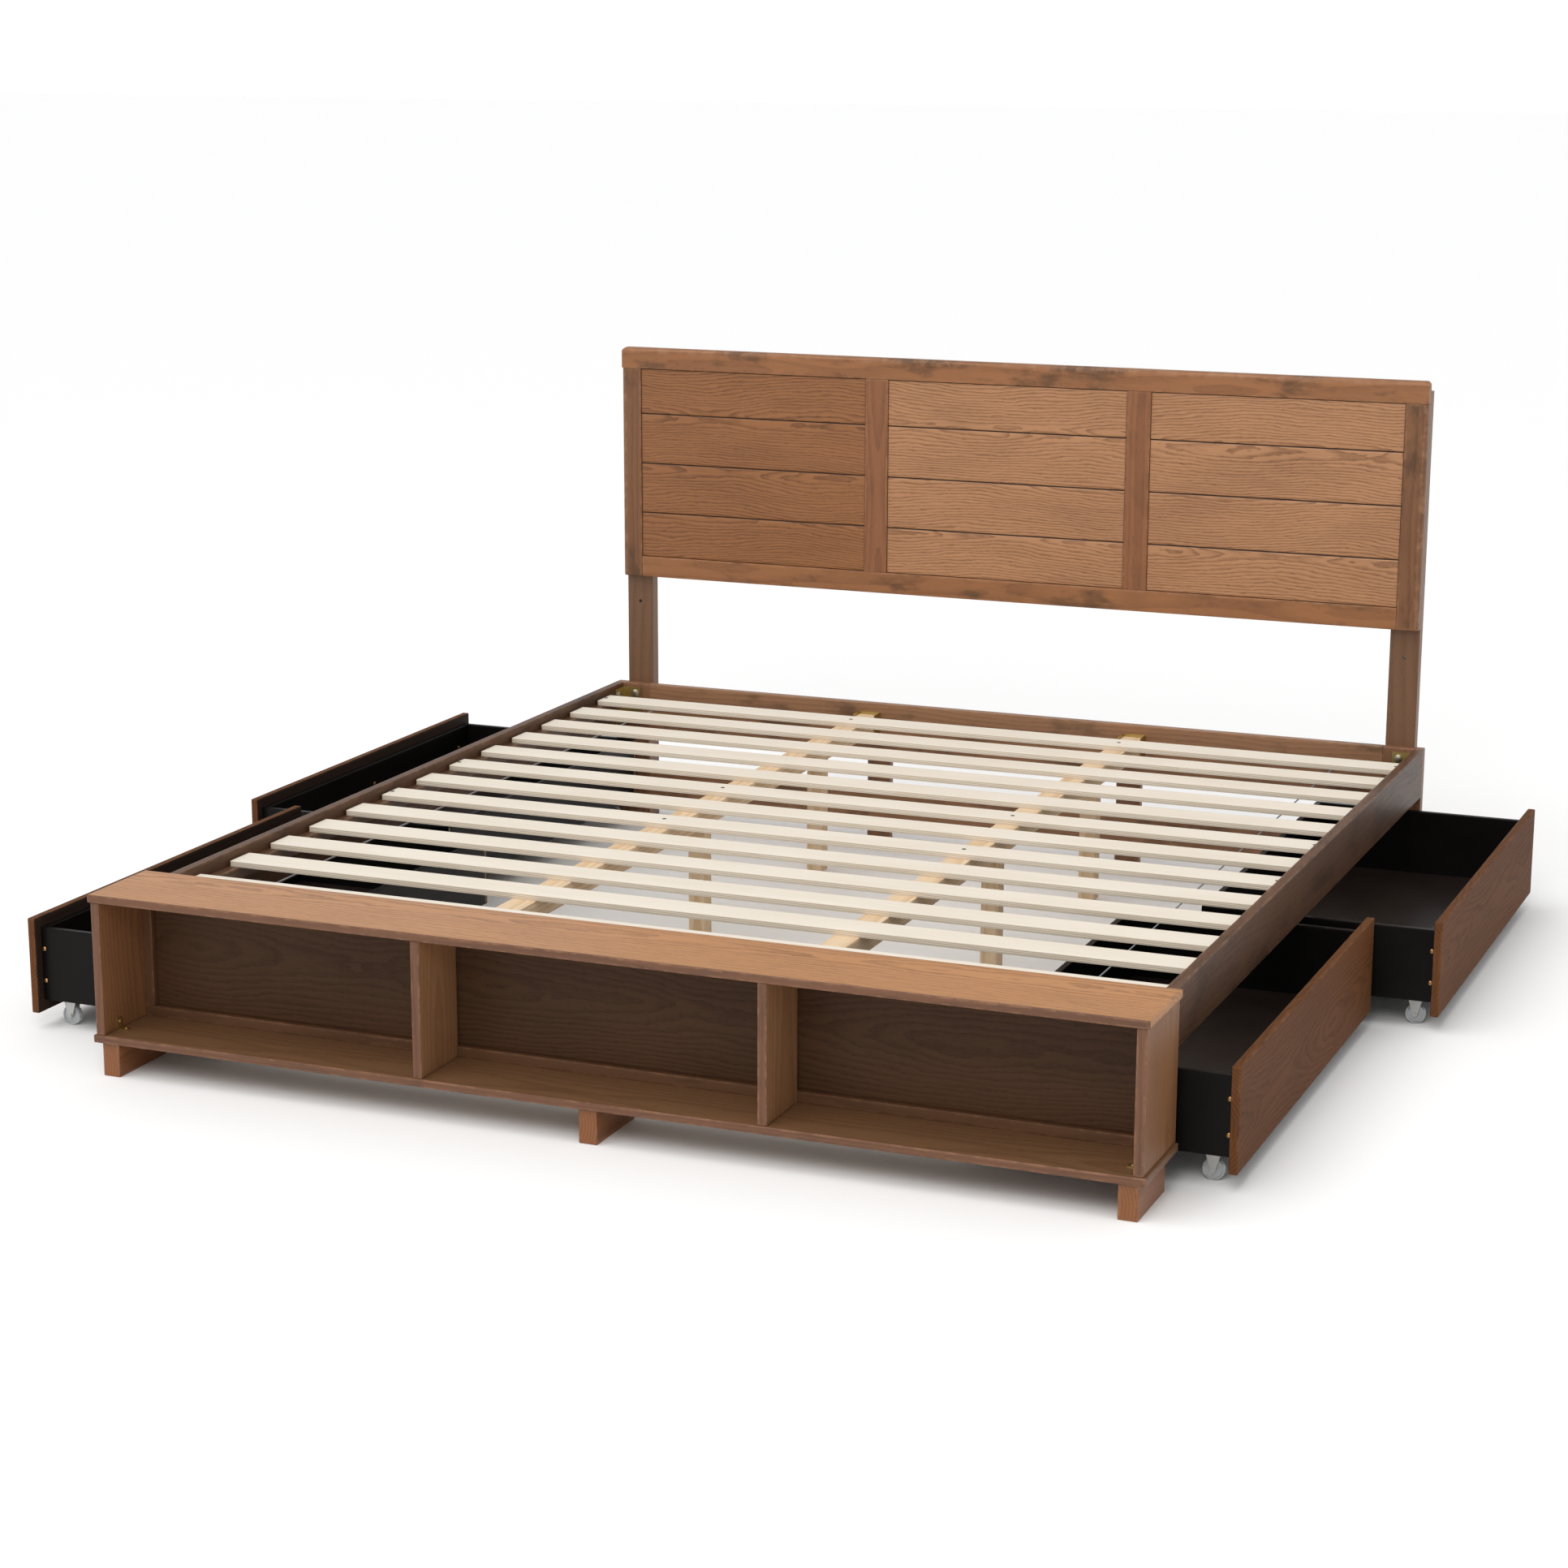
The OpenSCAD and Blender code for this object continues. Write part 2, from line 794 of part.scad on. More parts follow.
headboard_top_rail();
headboard_bottom_rail();
headboard_stiles();
headboard_mullions();
headboard_panels();
headboard_posts();
headboard_bolts();
side_rail_left();
side_rail_right();
slat_ledgers();
head_cross_rail();
head_stretcher();
head_legs();
head_centre_legs();
foot_cross_rail();
centre_beams();
beam_hangers();
centre_legs();
leg_glides();
corner_brackets();
corner_bolts();
slats();
slat_screws();
slat_straps();
footboard_top();
footboard_bottom();
footboard_ends();
footboard_dividers();
footboard_back_panel();
footboard_back_frame();
footboard_feet();
footboard_brackets();
drawer_front(true, y_near, open_rf);  // drawer_rf_front
drawer_walls(true, y_near, open_rf);  // drawer_rf_walls
drawer_bottom(true, y_near, open_rf);  // drawer_rf_bottom
drawer_casters(true, y_near, open_rf);  // drawer_rf_casters
drawer_wheels(true, y_near, open_rf, 0);  // drawer_rf_wheels_front
drawer_wheels(true, y_near, open_rf, 1);  // drawer_rf_wheels_back
drawer_bolts(true, y_near, open_rf);  // drawer_rf_bolts
drawer_front(true, y_far, open_rb);  // drawer_rb_front
drawer_walls(true, y_far, open_rb);  // drawer_rb_walls
drawer_bottom(true, y_far, open_rb);  // drawer_rb_bottom
drawer_casters(true, y_far, open_rb);  // drawer_rb_casters
drawer_wheels(true, y_far, open_rb, 0);  // drawer_rb_wheels_front
drawer_wheels(true, y_far, open_rb, 1);  // drawer_rb_wheels_back
drawer_bolts(true, y_far, open_rb);  // drawer_rb_bolts
drawer_front(false, y_near, open_lf);  // drawer_lf_front
drawer_walls(false, y_near, open_lf);  // drawer_lf_walls
drawer_bottom(false, y_near, open_lf);  // drawer_lf_bottom
drawer_casters(false, y_near, open_lf);  // drawer_lf_casters
drawer_wheels(false, y_near, open_lf, 0);  // drawer_lf_wheels_front
drawer_wheels(false, y_near, open_lf, 1);  // drawer_lf_wheels_back
drawer_bolts(false, y_near, open_lf);  // drawer_lf_bolts
drawer_front(false, y_far, open_lb);  // drawer_lb_front
drawer_walls(false, y_far, open_lb);  // drawer_lb_walls
drawer_bottom(false, y_far, open_lb);  // drawer_lb_bottom
drawer_casters(false, y_far, open_lb);  // drawer_lb_casters
drawer_wheels(false, y_far, open_lb, 0);  // drawer_lb_wheels_front
drawer_wheels(false, y_far, open_lb, 1);  // drawer_lb_wheels_back
drawer_bolts(false, y_far, open_lb);  // drawer_lb_bolts
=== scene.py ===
import math

import bpy
import numpy as np
from mathutils import Euler, Matrix, Vector


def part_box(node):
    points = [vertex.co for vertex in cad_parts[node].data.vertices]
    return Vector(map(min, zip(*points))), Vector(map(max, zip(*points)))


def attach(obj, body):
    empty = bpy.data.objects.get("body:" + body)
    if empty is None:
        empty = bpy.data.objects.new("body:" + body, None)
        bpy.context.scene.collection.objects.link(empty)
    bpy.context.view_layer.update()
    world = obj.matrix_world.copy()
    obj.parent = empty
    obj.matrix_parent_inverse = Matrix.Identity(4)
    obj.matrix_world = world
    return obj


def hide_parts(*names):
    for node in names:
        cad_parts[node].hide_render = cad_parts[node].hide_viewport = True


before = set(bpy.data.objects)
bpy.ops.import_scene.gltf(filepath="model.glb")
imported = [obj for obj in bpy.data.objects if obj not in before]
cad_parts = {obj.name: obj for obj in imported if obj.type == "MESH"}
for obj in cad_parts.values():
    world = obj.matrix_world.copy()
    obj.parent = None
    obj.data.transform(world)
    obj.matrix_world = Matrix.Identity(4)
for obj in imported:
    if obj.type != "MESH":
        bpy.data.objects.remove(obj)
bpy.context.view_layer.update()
scene = bpy.context.scene

# ---- Camera ----
# A long lens at the right of the footboard, a little above a standing person's eyes.
EYE = (2.40678, -5.04106, 1.94048)
YAW, DIP, ROLL = math.radians(22.516), math.radians(13.858), math.radians(0.0595)
lens = bpy.data.cameras.new("camera")
lens.lens, lens.sensor_width = 75.918, 36.0
lens.shift_x, lens.shift_y = 0.00748, 0.0246
camera = bpy.data.objects.new("camera", lens)
turn = Euler((math.pi / 2 - DIP, 0, YAW)).to_matrix() @ Matrix.Rotation(ROLL, 3, "Z")
camera.matrix_world = Matrix.Translation(EYE) @ turn.to_4x4()
scene.collection.objects.link(camera)
scene.camera = camera

# ---- Floor and light ----
# A plain pale floor runs on to the horizon, under a pale sky that is brightest there. One wide
# soft light hangs overhead and a smaller soft one in front.
FLOOR_HALF = 60.0
AIM = Vector((0.0, 1.0, 0.4))
HORIZON_GLOW, UPPER_GLOW, UPPER_FROM = 1.04, 0.64, 0.4


def shader_material(name):
    """A new node material, with its node tree and its Principled shader."""
    mat = bpy.data.materials.new(name)
    mat.use_nodes = True
    return mat, mat.node_tree, mat.node_tree.nodes["Principled BSDF"]


def wire(tree, kind, values=None, links=None, **settings):
    """Adds one node, sets its properties and unlinked sockets, and links the others."""
    node = tree.nodes.new("ShaderNode" + kind)
    for key, value in settings.items():
        setattr(node, key, value)
    for key, value in (values or {}).items():
        node.inputs[key].default_value = value
    for key, source in (links or {}).items():
        tree.links.new(source, node.inputs[key])
    return node


def ramp(tree, source, low, high, at_low=0.0, at_high=1.0):
    """A smooth step in a source: one value below the low mark, another above the high one."""
    values = {"From Min": low, "From Max": high, "To Min": at_low, "To Max": at_high}
    step = wire(tree, "MapRange", values, {"Value": source}, interpolation_type="SMOOTHSTEP")
    return step.outputs[0]


def hang(name, lamp, spot):
    """Puts a lamp at a spot and turns it towards the middle of the bed."""
    holder = bpy.data.objects.new(name, lamp)
    holder.location = spot
    holder.rotation_euler = (AIM - Vector(spot)).to_track_quat("-Z", "Y").to_euler()
    scene.collection.objects.link(holder)


corners = np.array([(-1, -1), (1, -1), (1, 1), (-1, 1)], float) * FLOOR_HALF
floor_mesh = bpy.data.meshes.new("floor")
floor_mesh.from_pydata(np.c_[corners, np.zeros(4)].tolist(), [], [(0, 1, 2, 3)])
floor_mat, _, floor_shader = shader_material("floor_pale")
floor_shader.inputs["Base Color"].default_value = (0.96, 0.96, 0.96, 1)
floor_shader.inputs["Roughness"].default_value = 0.8
floor_shader.inputs["Specular IOR Level"].default_value = 0.1
floor_mesh.materials.append(floor_mat)
floor = bpy.data.objects.new("floor", floor_mesh)
scene.collection.objects.link(floor)

sky = bpy.data.worlds.new("sky")
sky.use_nodes = True
up = wire(sky.node_tree, "SeparateXYZ", links={0: wire(sky.node_tree, "TexCoord").outputs["Generated"]})
glow = ramp(sky.node_tree, up.outputs[2], 0.0, UPPER_FROM, HORIZON_GLOW, UPPER_GLOW)
sky.node_tree.nodes["Background"].inputs["Color"].default_value = (1.0, 1.0, 1.0, 1)
sky.node_tree.links.new(glow, sky.node_tree.nodes["Background"].inputs["Strength"])
scene.world = sky

overhead = bpy.data.lights.new("overhead", "SUN")
overhead.energy, overhead.angle = 1.35, math.radians(55)
hang("overhead", overhead, (-1.6, -1.4, 6.0))
key = bpy.data.lights.new("key", "AREA")
key.shape, key.size, key.energy, key.color = "DISK", 3.0, 110.0, (1.0, 0.985, 0.96)
hang("key", key, (1.4, -4.8, 4.4))
scene.view_settings.view_transform = "Standard"

# ---- Headboard top rail ----
# A solid rail over the whole width, sawn from stained rubberwood with a few knots. Its front
# edge is rounded over and its upper corners are cut round; the other edges are eased.
HEAD_ROUND, EASE, SUPPORT = 0.010, 0.0015, 0.005
CORNER_STATIONS = (0.0120, 0.0100, 0.0085, 0.0070, 0.0055)
# Shares of a board's half thickness that its easing and its end loop may take, and shares of
# the easing that the end draws in by and that every corner keeps
EASE_MOST, LOOP_MOST, DRAWN_IN, LEAST_ROUND = 0.4, 0.45, 0.9, 0.1
# Where the pith may lie, across as a share of the width and in depth, and how far along the
# trunk a board may come from
PITH_ACROSS, PITH_NEAR, PITH_FAR, TRUNK = 0.35, 0.03, 0.09, 40
draws = np.random.default_rng(seed=11)


def place(name, verts, faces, grain, edge, body, slot, materials, face_material=None, node=None):
    """Puts finished arrays into one mesh object that rides on a body and stands for a node."""
    mesh = bpy.data.meshes.new(name)
    mesh.from_pydata(verts.tolist(), [], faces)
    mesh.attributes.new("grain", "FLOAT_VECTOR", "POINT").data.foreach_set(
        "vector", grain.astype(np.float32).ravel())
    mesh.attributes.new("edge", "FLOAT", "POINT").data.foreach_set(
        "value", edge.astype(np.float32))
    for mat in materials:
        mesh.materials.append(mat)
    if face_material is not None:
        mesh.polygons.foreach_set("material_index", np.asarray(face_material, np.int32))
    mesh.shade_smooth()
    obj = bpy.data.objects.new(name, mesh)
    scene.collection.objects.link(obj)
    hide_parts(node or name)
    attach(obj, body)


def rounded_profile(half_w, half_t, radii, steps):
    """One loop round a rounded rectangle. Each corner is its centre plus its radius times the
    cosine and sine of an angle over a quarter turn, with one more point on the flat on either
    side of it. Returns points (n, 2), and 1 on the rounding, 0 on the flat."""
    angle = np.linspace(0, np.pi / 2, steps + 1)
    points = []
    for k, (sx, sy) in enumerate([(1, 1), (-1, 1), (-1, -1), (1, -1)]):
        reach = np.minimum(SUPPORT, 0.5 * (np.array([half_w, half_t]) - radii[k]))
        arc = np.c_[np.cos(angle), np.sin(angle)] * radii[k]
        loop = np.vstack([[radii[k], -reach[1]], arc, [-reach[0], radii[k]]])
        turned = loop if k % 2 == 0 else loop[::-1]
        centre = [sx * (half_w - radii[k]), sy * (half_t - radii[k])]
        points.append(turned * [sx, sy] + centre)
    mark = np.r_[0.0, np.ones(steps + 1), 0.0]
    return np.vstack(points), np.tile(mark, 4)


def board_grid(lo, hi, along, ease=EASE, steps=3, pith=None, radii=None, extra=()):
    """A sawn board with all edges eased. A rounded rectangle is carried along the board's
    length; over the last stretch at each end it shrinks by a quarter circle, radius minus
    radius times cosine, and a smaller loop and a flat face close the end. radii are the four
    long edges' own roundings, and extra more stations, as distances from the ends. The grain
    coordinates are (along, across, depth) from a pith line in or near the board."""
    lo, hi = np.array(lo, float), np.array(hi, float)
    size = hi - lo
    a = "xyz".index(along)
    b, c = [i for i in range(3) if i != a]
    if size[b] < size[c]:
        b, c = c, b
    half_w, half_t = size[b] / 2, size[c] / 2
    ease = min(ease, EASE_MOST * half_t)
    radii = np.array(radii or (ease,) * 4, float)
    phi = np.linspace(0, np.pi / 2, steps + 1)
    shrink = np.minimum(ease * (1 - np.cos(phi)), DRAWN_IN * ease)
    loop_in = DRAWN_IN * ease + min(SUPPORT, LOOP_MOST * half_t)
    inset = np.r_[np.zeros(len(extra) + 1), shrink, loop_in]
    reach = SUPPORT / 2 if len(extra) else SUPPORT
    gap = np.r_[extra, ease + reach, ease * (1 - np.sin(phi)), 0.0]
    wear_and_light = np.r_[np.zeros(len(extra) + 1), np.ones(steps + 1), 0.0]
    station = np.r_[(-size[a] / 2 + gap)[::-1], size[a] / 2 - gap]
    inset, wear_and_light = np.r_[inset[::-1], inset], np.r_[wear_and_light[::-1], wear_and_light]
    rings = [rounded_profile(half_w - d, half_t - d, np.maximum(radii - d, LEAST_ROUND * ease), steps)
             for d in inset]
    mark = rings[0][1]
    m, n = len(rings), len(mark)
    local = np.zeros((m, n, 3))
    local[..., 0] = station[:, None]
    local[..., 1:] = [ring[0] for ring in rings]
    edge = np.maximum(mark[None, :] * np.ones((m, 1)), wear_and_light[:, None])
    edge[0], edge[-1] = 0, 0
    flat = local.reshape(-1, 3)
    verts = np.zeros((m * n, 3))
    verts[:, a], verts[:, b], verts[:, c] = flat.T
    verts += (lo + hi) / 2
    i, j = np.meshgrid(np.arange(m - 1), np.arange(n), indexing="ij")
    quads = np.stack([i * n + j, i * n + (j + 1) % n, (i + 1) * n + (j + 1) % n, (i + 1) * n + j], -1)
    quads = quads.reshape(-1, 4)
    low_cap, high_cap = np.arange(n)[::-1], (m - 1) * n + np.arange(n)
    handed = np.zeros((3, 3))
    handed[a, 0] = handed[b, 1] = handed[c, 2] = 1
    if np.linalg.det(handed) < 0:
        quads, low_cap, high_cap = quads[:, ::-1], low_cap[::-1], high_cap[::-1]
    faces = quads.tolist() + [low_cap.tolist(), high_cap.tolist()]
    if pith is None:
        pith = (draws.uniform(-PITH_ACROSS, PITH_ACROSS) * size[b], draws.uniform(PITH_NEAR, PITH_FAR))
    grain = flat + [draws.uniform(0, TRUNK), -pith[0], pith[1]]
    return verts, faces, grain, edge.ravel()


def join(parts):
    """Several boards' arrays laid one after the other, with the faces renumbered."""
    verts, faces, grain, edge, start = [], [], [], [], 0
    for v, f, g, e in parts:
        verts.append(v)
        grain.append(g)
        edge.append(e)
        faces += [[k + start for k in face] for face in f]
        start += len(v)
    return np.vstack(verts), faces, np.vstack(grain), np.concatenate(edge)


def band_marks(board, axis, limit):
    """1 for each side face whose middle lies below the limit on the axis, 0 for the others."""
    verts, faces = board[0], board[1]
    middle = verts[np.array(faces[:-2]), axis].mean(1)
    return np.r_[(middle < limit).astype(int), 0, 0]


def new_group(name, inputs, outputs):
    """An empty shader group. Inputs are (name, kind, default); outputs are (name, kind)."""
    group = bpy.data.node_groups.new(name, "ShaderNodeTree")
    for label, kind, value in inputs:
        socket = group.interface.new_socket(label, in_out="INPUT", socket_type="NodeSocket" + kind)
        if value is not None:
            socket.default_value = value
    for label, kind in outputs:
        group.interface.new_socket(label, in_out="OUTPUT", socket_type="NodeSocket" + kind)
    enter, leave = group.nodes.new("NodeGroupInput"), group.nodes.new("NodeGroupOutput")
    return group, enter, leave


def sums(tree, operation, *operands, clamp=False):
    """A Math node: each operand is a number or a socket."""
    node = tree.nodes.new("ShaderNodeMath")
    node.operation, node.use_clamp = operation, clamp
    for k, operand in enumerate(operands):
        if isinstance(operand, (int, float)):
            node.inputs[k].default_value = operand
        else:
            tree.links.new(operand, node.inputs[k])
    return node.outputs[0]


def noise(tree, vector, scale, detail, rough):
    """Fractal noise over a vector; the scale is a number or a socket."""
    node = wire(tree, "TexNoise", {"Detail": detail, "Roughness": rough}, {"Vector": vector})
    if isinstance(scale, float):
        node.inputs["Scale"].default_value = scale
    else:
        tree.links.new(scale, node.inputs["Scale"])
    return node.outputs["Fac"]


def stretched(tree, parts, *scales):
    """Separate coordinates, each one times its own number or socket, as one vector."""
    links = {k: sums(tree, "MULTIPLY", parts[k], scale) for k, scale in enumerate(scales)}
    return wire(tree, "CombineXYZ", links=links).outputs[0]


# Growth rings, fibres and pores, worked out in a board's own grain coordinates. The scales are
# features per metre along the grain, across it and in depth; the last two are shares of the
# fibre's own scale.
SWAY_SCALE, WAVER_SCALE = (1.7, 3.0), (9.0, 34.0, 34.0)
CLOUD_SCALE, BLOTCH_SCALE = (3.0, 9.0, 9.0), (6.5, 16.0, 16.0)
FIBRE_ALONG, PORE_ALONG, PORE_ACROSS = 0.02, 0.09, 1.6
figure, g_in, g_out = new_group(
    "timber_figure",
    [("Grain", "Vector", None), ("Ring Width", "Float", 0.006), ("Sway", "Float", 0.02),
     ("Waver", "Float", 0.004), ("Fibre Size", "Float", 0.0016), ("Pore Share", "Float", 0.4)],
    [("Rings", "Float"), ("Fibre", "Float"), ("Pores", "Float"), ("Cloud", "Float"), ("Blotch", "Float")])
parts = wire(figure, "SeparateXYZ", links={0: g_in.outputs["Grain"]}).outputs
squares = [sums(figure, "MULTIPLY", parts[k], parts[k]) for k in (1, 2)]
radius = sums(figure, "SQRT", sums(figure, "ADD", *squares))
sway = noise(figure, stretched(figure, parts, *SWAY_SCALE), 1.0, 1.0, 0.4)
waver = noise(figure, stretched(figure, parts, *WAVER_SCALE), 1.0, 3.0, 0.55)
bent = radius
for label, drift in (("Sway", sway), ("Waver", waver)):
    drift = sums(figure, "MULTIPLY", sums(figure, "SUBTRACT", drift, 0.5), g_in.outputs[label])
    bent = sums(figure, "ADD", bent, drift)
phase = sums(figure, "FRACT", sums(figure, "DIVIDE", bent, g_in.outputs["Ring Width"]))
rings = sums(figure, "MULTIPLY", ramp(figure, phase, 0.25, 0.92), ramp(figure, phase, 0.93, 1.0, 1.0, 0.0))
thin = sums(figure, "DIVIDE", 1.0, g_in.outputs["Fibre Size"])
fine = stretched(figure, parts, sums(figure, "MULTIPLY", thin, FIBRE_ALONG), thin, thin)
fibre = noise(figure, fine, 0.5, 4.0, 0.6)
dash, slit = sums(figure, "MULTIPLY", thin, PORE_ALONG), sums(figure, "MULTIPLY", thin, PORE_ACROSS)
speck = noise(figure, stretched(figure, parts, dash, slit, slit), 1.0, 1.0, 0.5)
share = g_in.outputs["Pore Share"]
spread = sums(figure, "ADD", sums(figure, "MULTIPLY", rings, sums(figure, "SUBTRACT", 1.0, share)), share)
pores = sums(figure, "MULTIPLY", ramp(figure, speck, 0.56, 0.68), spread)
cloud = noise(figure, stretched(figure, parts, *CLOUD_SCALE), 1.0, 3.0, 0.5)
soaked = noise(figure, stretched(figure, parts, *BLOTCH_SCALE), 1.0, 4.0, 0.6)
blotch = ramp(figure, soaked, 0.50, 0.68)
for label, source in (("Rings", rings), ("Fibre", fibre), ("Pores", pores), ("Cloud", cloud),
                      ("Blotch", blotch)):
    figure.links.new(source, g_out.inputs[label])

# Knots: dark eyes with a ring of darker wood round them, scattered thinly over a board
KNOT_DEPTH = 0.15
knots, k_in, k_out = new_group(
    "knots", [("Grain", "Vector", None), ("Spacing", "Float", 0.35), ("Share", "Float", 0.3)],
    [("Knot", "Float"), ("Halo", "Float")])
cells = wire(knots, "Mapping", {"Scale": (1.0, 1.0, KNOT_DEPTH)}, {"Vector": k_in.outputs["Grain"]})
cell = wire(knots, "TexVoronoi", {"Randomness": 1.0}, {
    "Vector": cells.outputs[0], "Scale": sums(knots, "DIVIDE", 1.0, k_in.outputs["Spacing"])})
chance = wire(knots, "SeparateColor", links={0: cell.outputs["Color"]}).outputs[0]
kept = sums(knots, "LESS_THAN", chance, k_in.outputs["Share"])
for label, inner, outer in (("Knot", 0.02, 0.05), ("Halo", 0.04, 0.2)):
    spot = ramp(knots, cell.outputs["Distance"], inner, outer, 1.0, 0.0)
    knots.links.new(sums(knots, "MULTIPLY", spot, kept), k_out.inputs[label])

# Edge wear and painted light: the eased edges, broken up so that they are marked only here and there. The
# colour laid there is partly worn finish and partly a painted highlight where it is lighter, or painted
# shade where it is darker
edge_wear_and_light, r_in, r_out = new_group(
    "edge_wear_and_painted_light",
    [("Edge", "Float", 0.0), ("Grain", "Vector", None), ("Amount", "Float", 0.5), ("Size", "Float", 0.03)],
    [("Mask", "Float")])
patch = noise(edge_wear_and_light, r_in.outputs["Grain"], sums(edge_wear_and_light, "DIVIDE", 1.0, r_in.outputs["Size"]), 4.0, 0.65)
marked = sums(edge_wear_and_light, "MULTIPLY", ramp(edge_wear_and_light, patch, 0.42, 0.66), r_in.outputs["Edge"])
edge_wear_and_light.links.new(sums(edge_wear_and_light, "MULTIPLY", marked, r_in.outputs["Amount"]), r_out.inputs["Mask"])


def blended(tree, share, first, second):
    """A colour Mix node: each colour is a triple or a socket, the share a number or a socket."""
    node = tree.nodes.new("ShaderNodeMix")
    node.data_type = "RGBA"
    for key, value in (("Factor", share), ("A", first), ("B", second)):
        socket = {"Factor": node.inputs[0], "A": node.inputs[6], "B": node.inputs[7]}[key]
        if isinstance(value, (int, float)):
            socket.default_value = value
        elif isinstance(value, tuple):
            socket.default_value = (*value, 1)
        else:
            tree.links.new(value, socket)
    return node.outputs[2]


def grown(tree, source, ring, sway, waver, fibre, pore):
    """The figure group, set for one kind of timber and fed with grain coordinates."""
    values = {"Ring Width": ring, "Sway": sway, "Waver": waver, "Fibre Size": fibre, "Pore Share": pore}
    return wire(tree, "Group", values, {"Grain": source}, node_tree=figure).outputs


def toned(tree, wood, rings, fibre, cloud, fibre_mid, cloud_mid):
    """How dark the wood is, from 0 to 1: its rings by their weight, plus its fibre and its
    cloud, each less its middle and by its own weight."""
    tone = sums(tree, "MULTIPLY", wood["Rings"], rings)
    strands = sums(tree, "MULTIPLY", sums(tree, "SUBTRACT", wood["Fibre"], fibre_mid), fibre)
    drift = sums(tree, "MULTIPLY", sums(tree, "SUBTRACT", wood["Cloud"], cloud_mid), cloud)
    return sums(tree, "ADD", sums(tree, "ADD", tone, strands), drift, clamp=True)


def finish(tree, shader, rough, shares, height, bump, relief):
    """Feeds the shader's roughness, a number plus each source by its weight, and its normal."""
    for source, weight in shares:
        rough = sums(tree, "ADD", rough, sums(tree, "MULTIPLY", source, weight))
    tree.links.new(rough, shader.inputs["Roughness"])
    raised = wire(tree, "Bump", {"Strength": bump, "Distance": relief}, {"Height": height})
    tree.links.new(raised.outputs[0], shader.inputs["Normal"])


FIBRE_WEIGHT, CLOUD_WEIGHT, FIBRE_MID, CLOUD_MID = 1.6, 2.0, 0.5, 0.42
PORE_DARK, BLOTCH_TINT = 0.45, (0.62, 0.72, 0.72)
KNOT_SPACING, HALO_SHARE, EYE_SHARE = 0.3, 0.45, 0.9
FIBRE_RAISED, FIBRE_ROUGH, PORE_ROUGH, WOOD_RELIEF = 0.35, 0.16, 0.15, 0.0006
UPRIGHT_GRAIN, PITH_OFFSET = (0, math.pi / 2, 0), (3.7, 0.021, 0.055)


def timber(name, light, dark, wear_and_light, ring=0.006, sway=0.02, waver=0.004, fibre=0.0016, pore=0.4,
           contrast=0.5, cloud=0.35, pores=0.5, rough=0.42, sheen=0.4, knot=0.0, wear_and_light_share=0.4,
           bump=0.12, blotch=0.0, carried=False):
    """Stained or bare wood: two colours mixed by rings, fibre and cloud, with pores, knots and
    edge colour over them: worn finish with a painted highlight where that colour is lighter, and
    stain with painted shade where it is darker. It reads the grain attribute, or on a carried-over
    node the node's own coordinates, turned so that the grain runs upright, and then without that
    edge colour."""
    mat, tree, shader = shader_material(name)
    if carried:
        source = wire(tree, "Mapping", {"Rotation": UPRIGHT_GRAIN, "Location": PITH_OFFSET},
                      {"Vector": wire(tree, "TexCoord").outputs["Object"]}).outputs[0]
    else:
        source = wire(tree, "Attribute", attribute_name="grain").outputs["Vector"]
    wood = grown(tree, source, ring, sway, waver, fibre, pore)
    tone = toned(tree, wood, contrast, contrast * FIBRE_WEIGHT, cloud * CLOUD_WEIGHT, FIBRE_MID, CLOUD_MID)
    colour = blended(tree, tone, light, dark)
    deep = tuple(PORE_DARK * v for v in dark)
    if blotch:
        soaked_in = tuple(v * k for v, k in zip(dark, BLOTCH_TINT))
        colour = blended(tree, sums(tree, "MULTIPLY", wood["Blotch"], blotch), colour, soaked_in)
    colour = blended(tree, sums(tree, "MULTIPLY", wood["Pores"], pores), colour, deep)
    if knot:
        eyes = wire(tree, "Group", {"Spacing": KNOT_SPACING, "Share": knot}, {"Grain": source},
                    node_tree=knots).outputs
        colour = blended(tree, sums(tree, "MULTIPLY", eyes["Halo"], HALO_SHARE), colour, dark)
        colour = blended(tree, sums(tree, "MULTIPLY", eyes["Knot"], EYE_SHARE), colour, deep)
    if wear_and_light_share and not carried:
        edge = wire(tree, "Attribute", attribute_name="edge").outputs["Fac"]
        edge_marks = wire(tree, "Group", {"Amount": wear_and_light_share}, {"Edge": edge, "Grain": source}, node_tree=edge_wear_and_light)
        colour = blended(tree, edge_marks.outputs["Mask"], colour, wear_and_light)
    tree.links.new(colour, shader.inputs["Base Color"])
    shader.inputs["Specular IOR Level"].default_value = sheen
    height = sums(tree, "SUBTRACT", sums(tree, "MULTIPLY", wood["Fibre"], FIBRE_RAISED), wood["Pores"])
    shares = ((wood["Fibre"], FIBRE_ROUGH), (wood["Pores"], PORE_ROUGH))
    finish(tree, shader, rough - FIBRE_ROUGH / 2, shares, height, bump, WOOD_RELIEF)
    return mat


WALNUT = (0.300, 0.124, 0.046)
WALNUT_DEEP = (0.135, 0.052, 0.019)
# The lighter colour for eased edges: partly worn stain, partly a painted highlight
WALNUT_WORN_AND_LIT = (0.38, 0.19, 0.095)
rail_wood = timber("walnut_rail", WALNUT, WALNUT_DEEP, WALNUT_WORN_AND_LIT, ring=0.009, sway=0.05,
                   contrast=0.30, cloud=0.30, pores=0.30, knot=0.40, blotch=0.80)


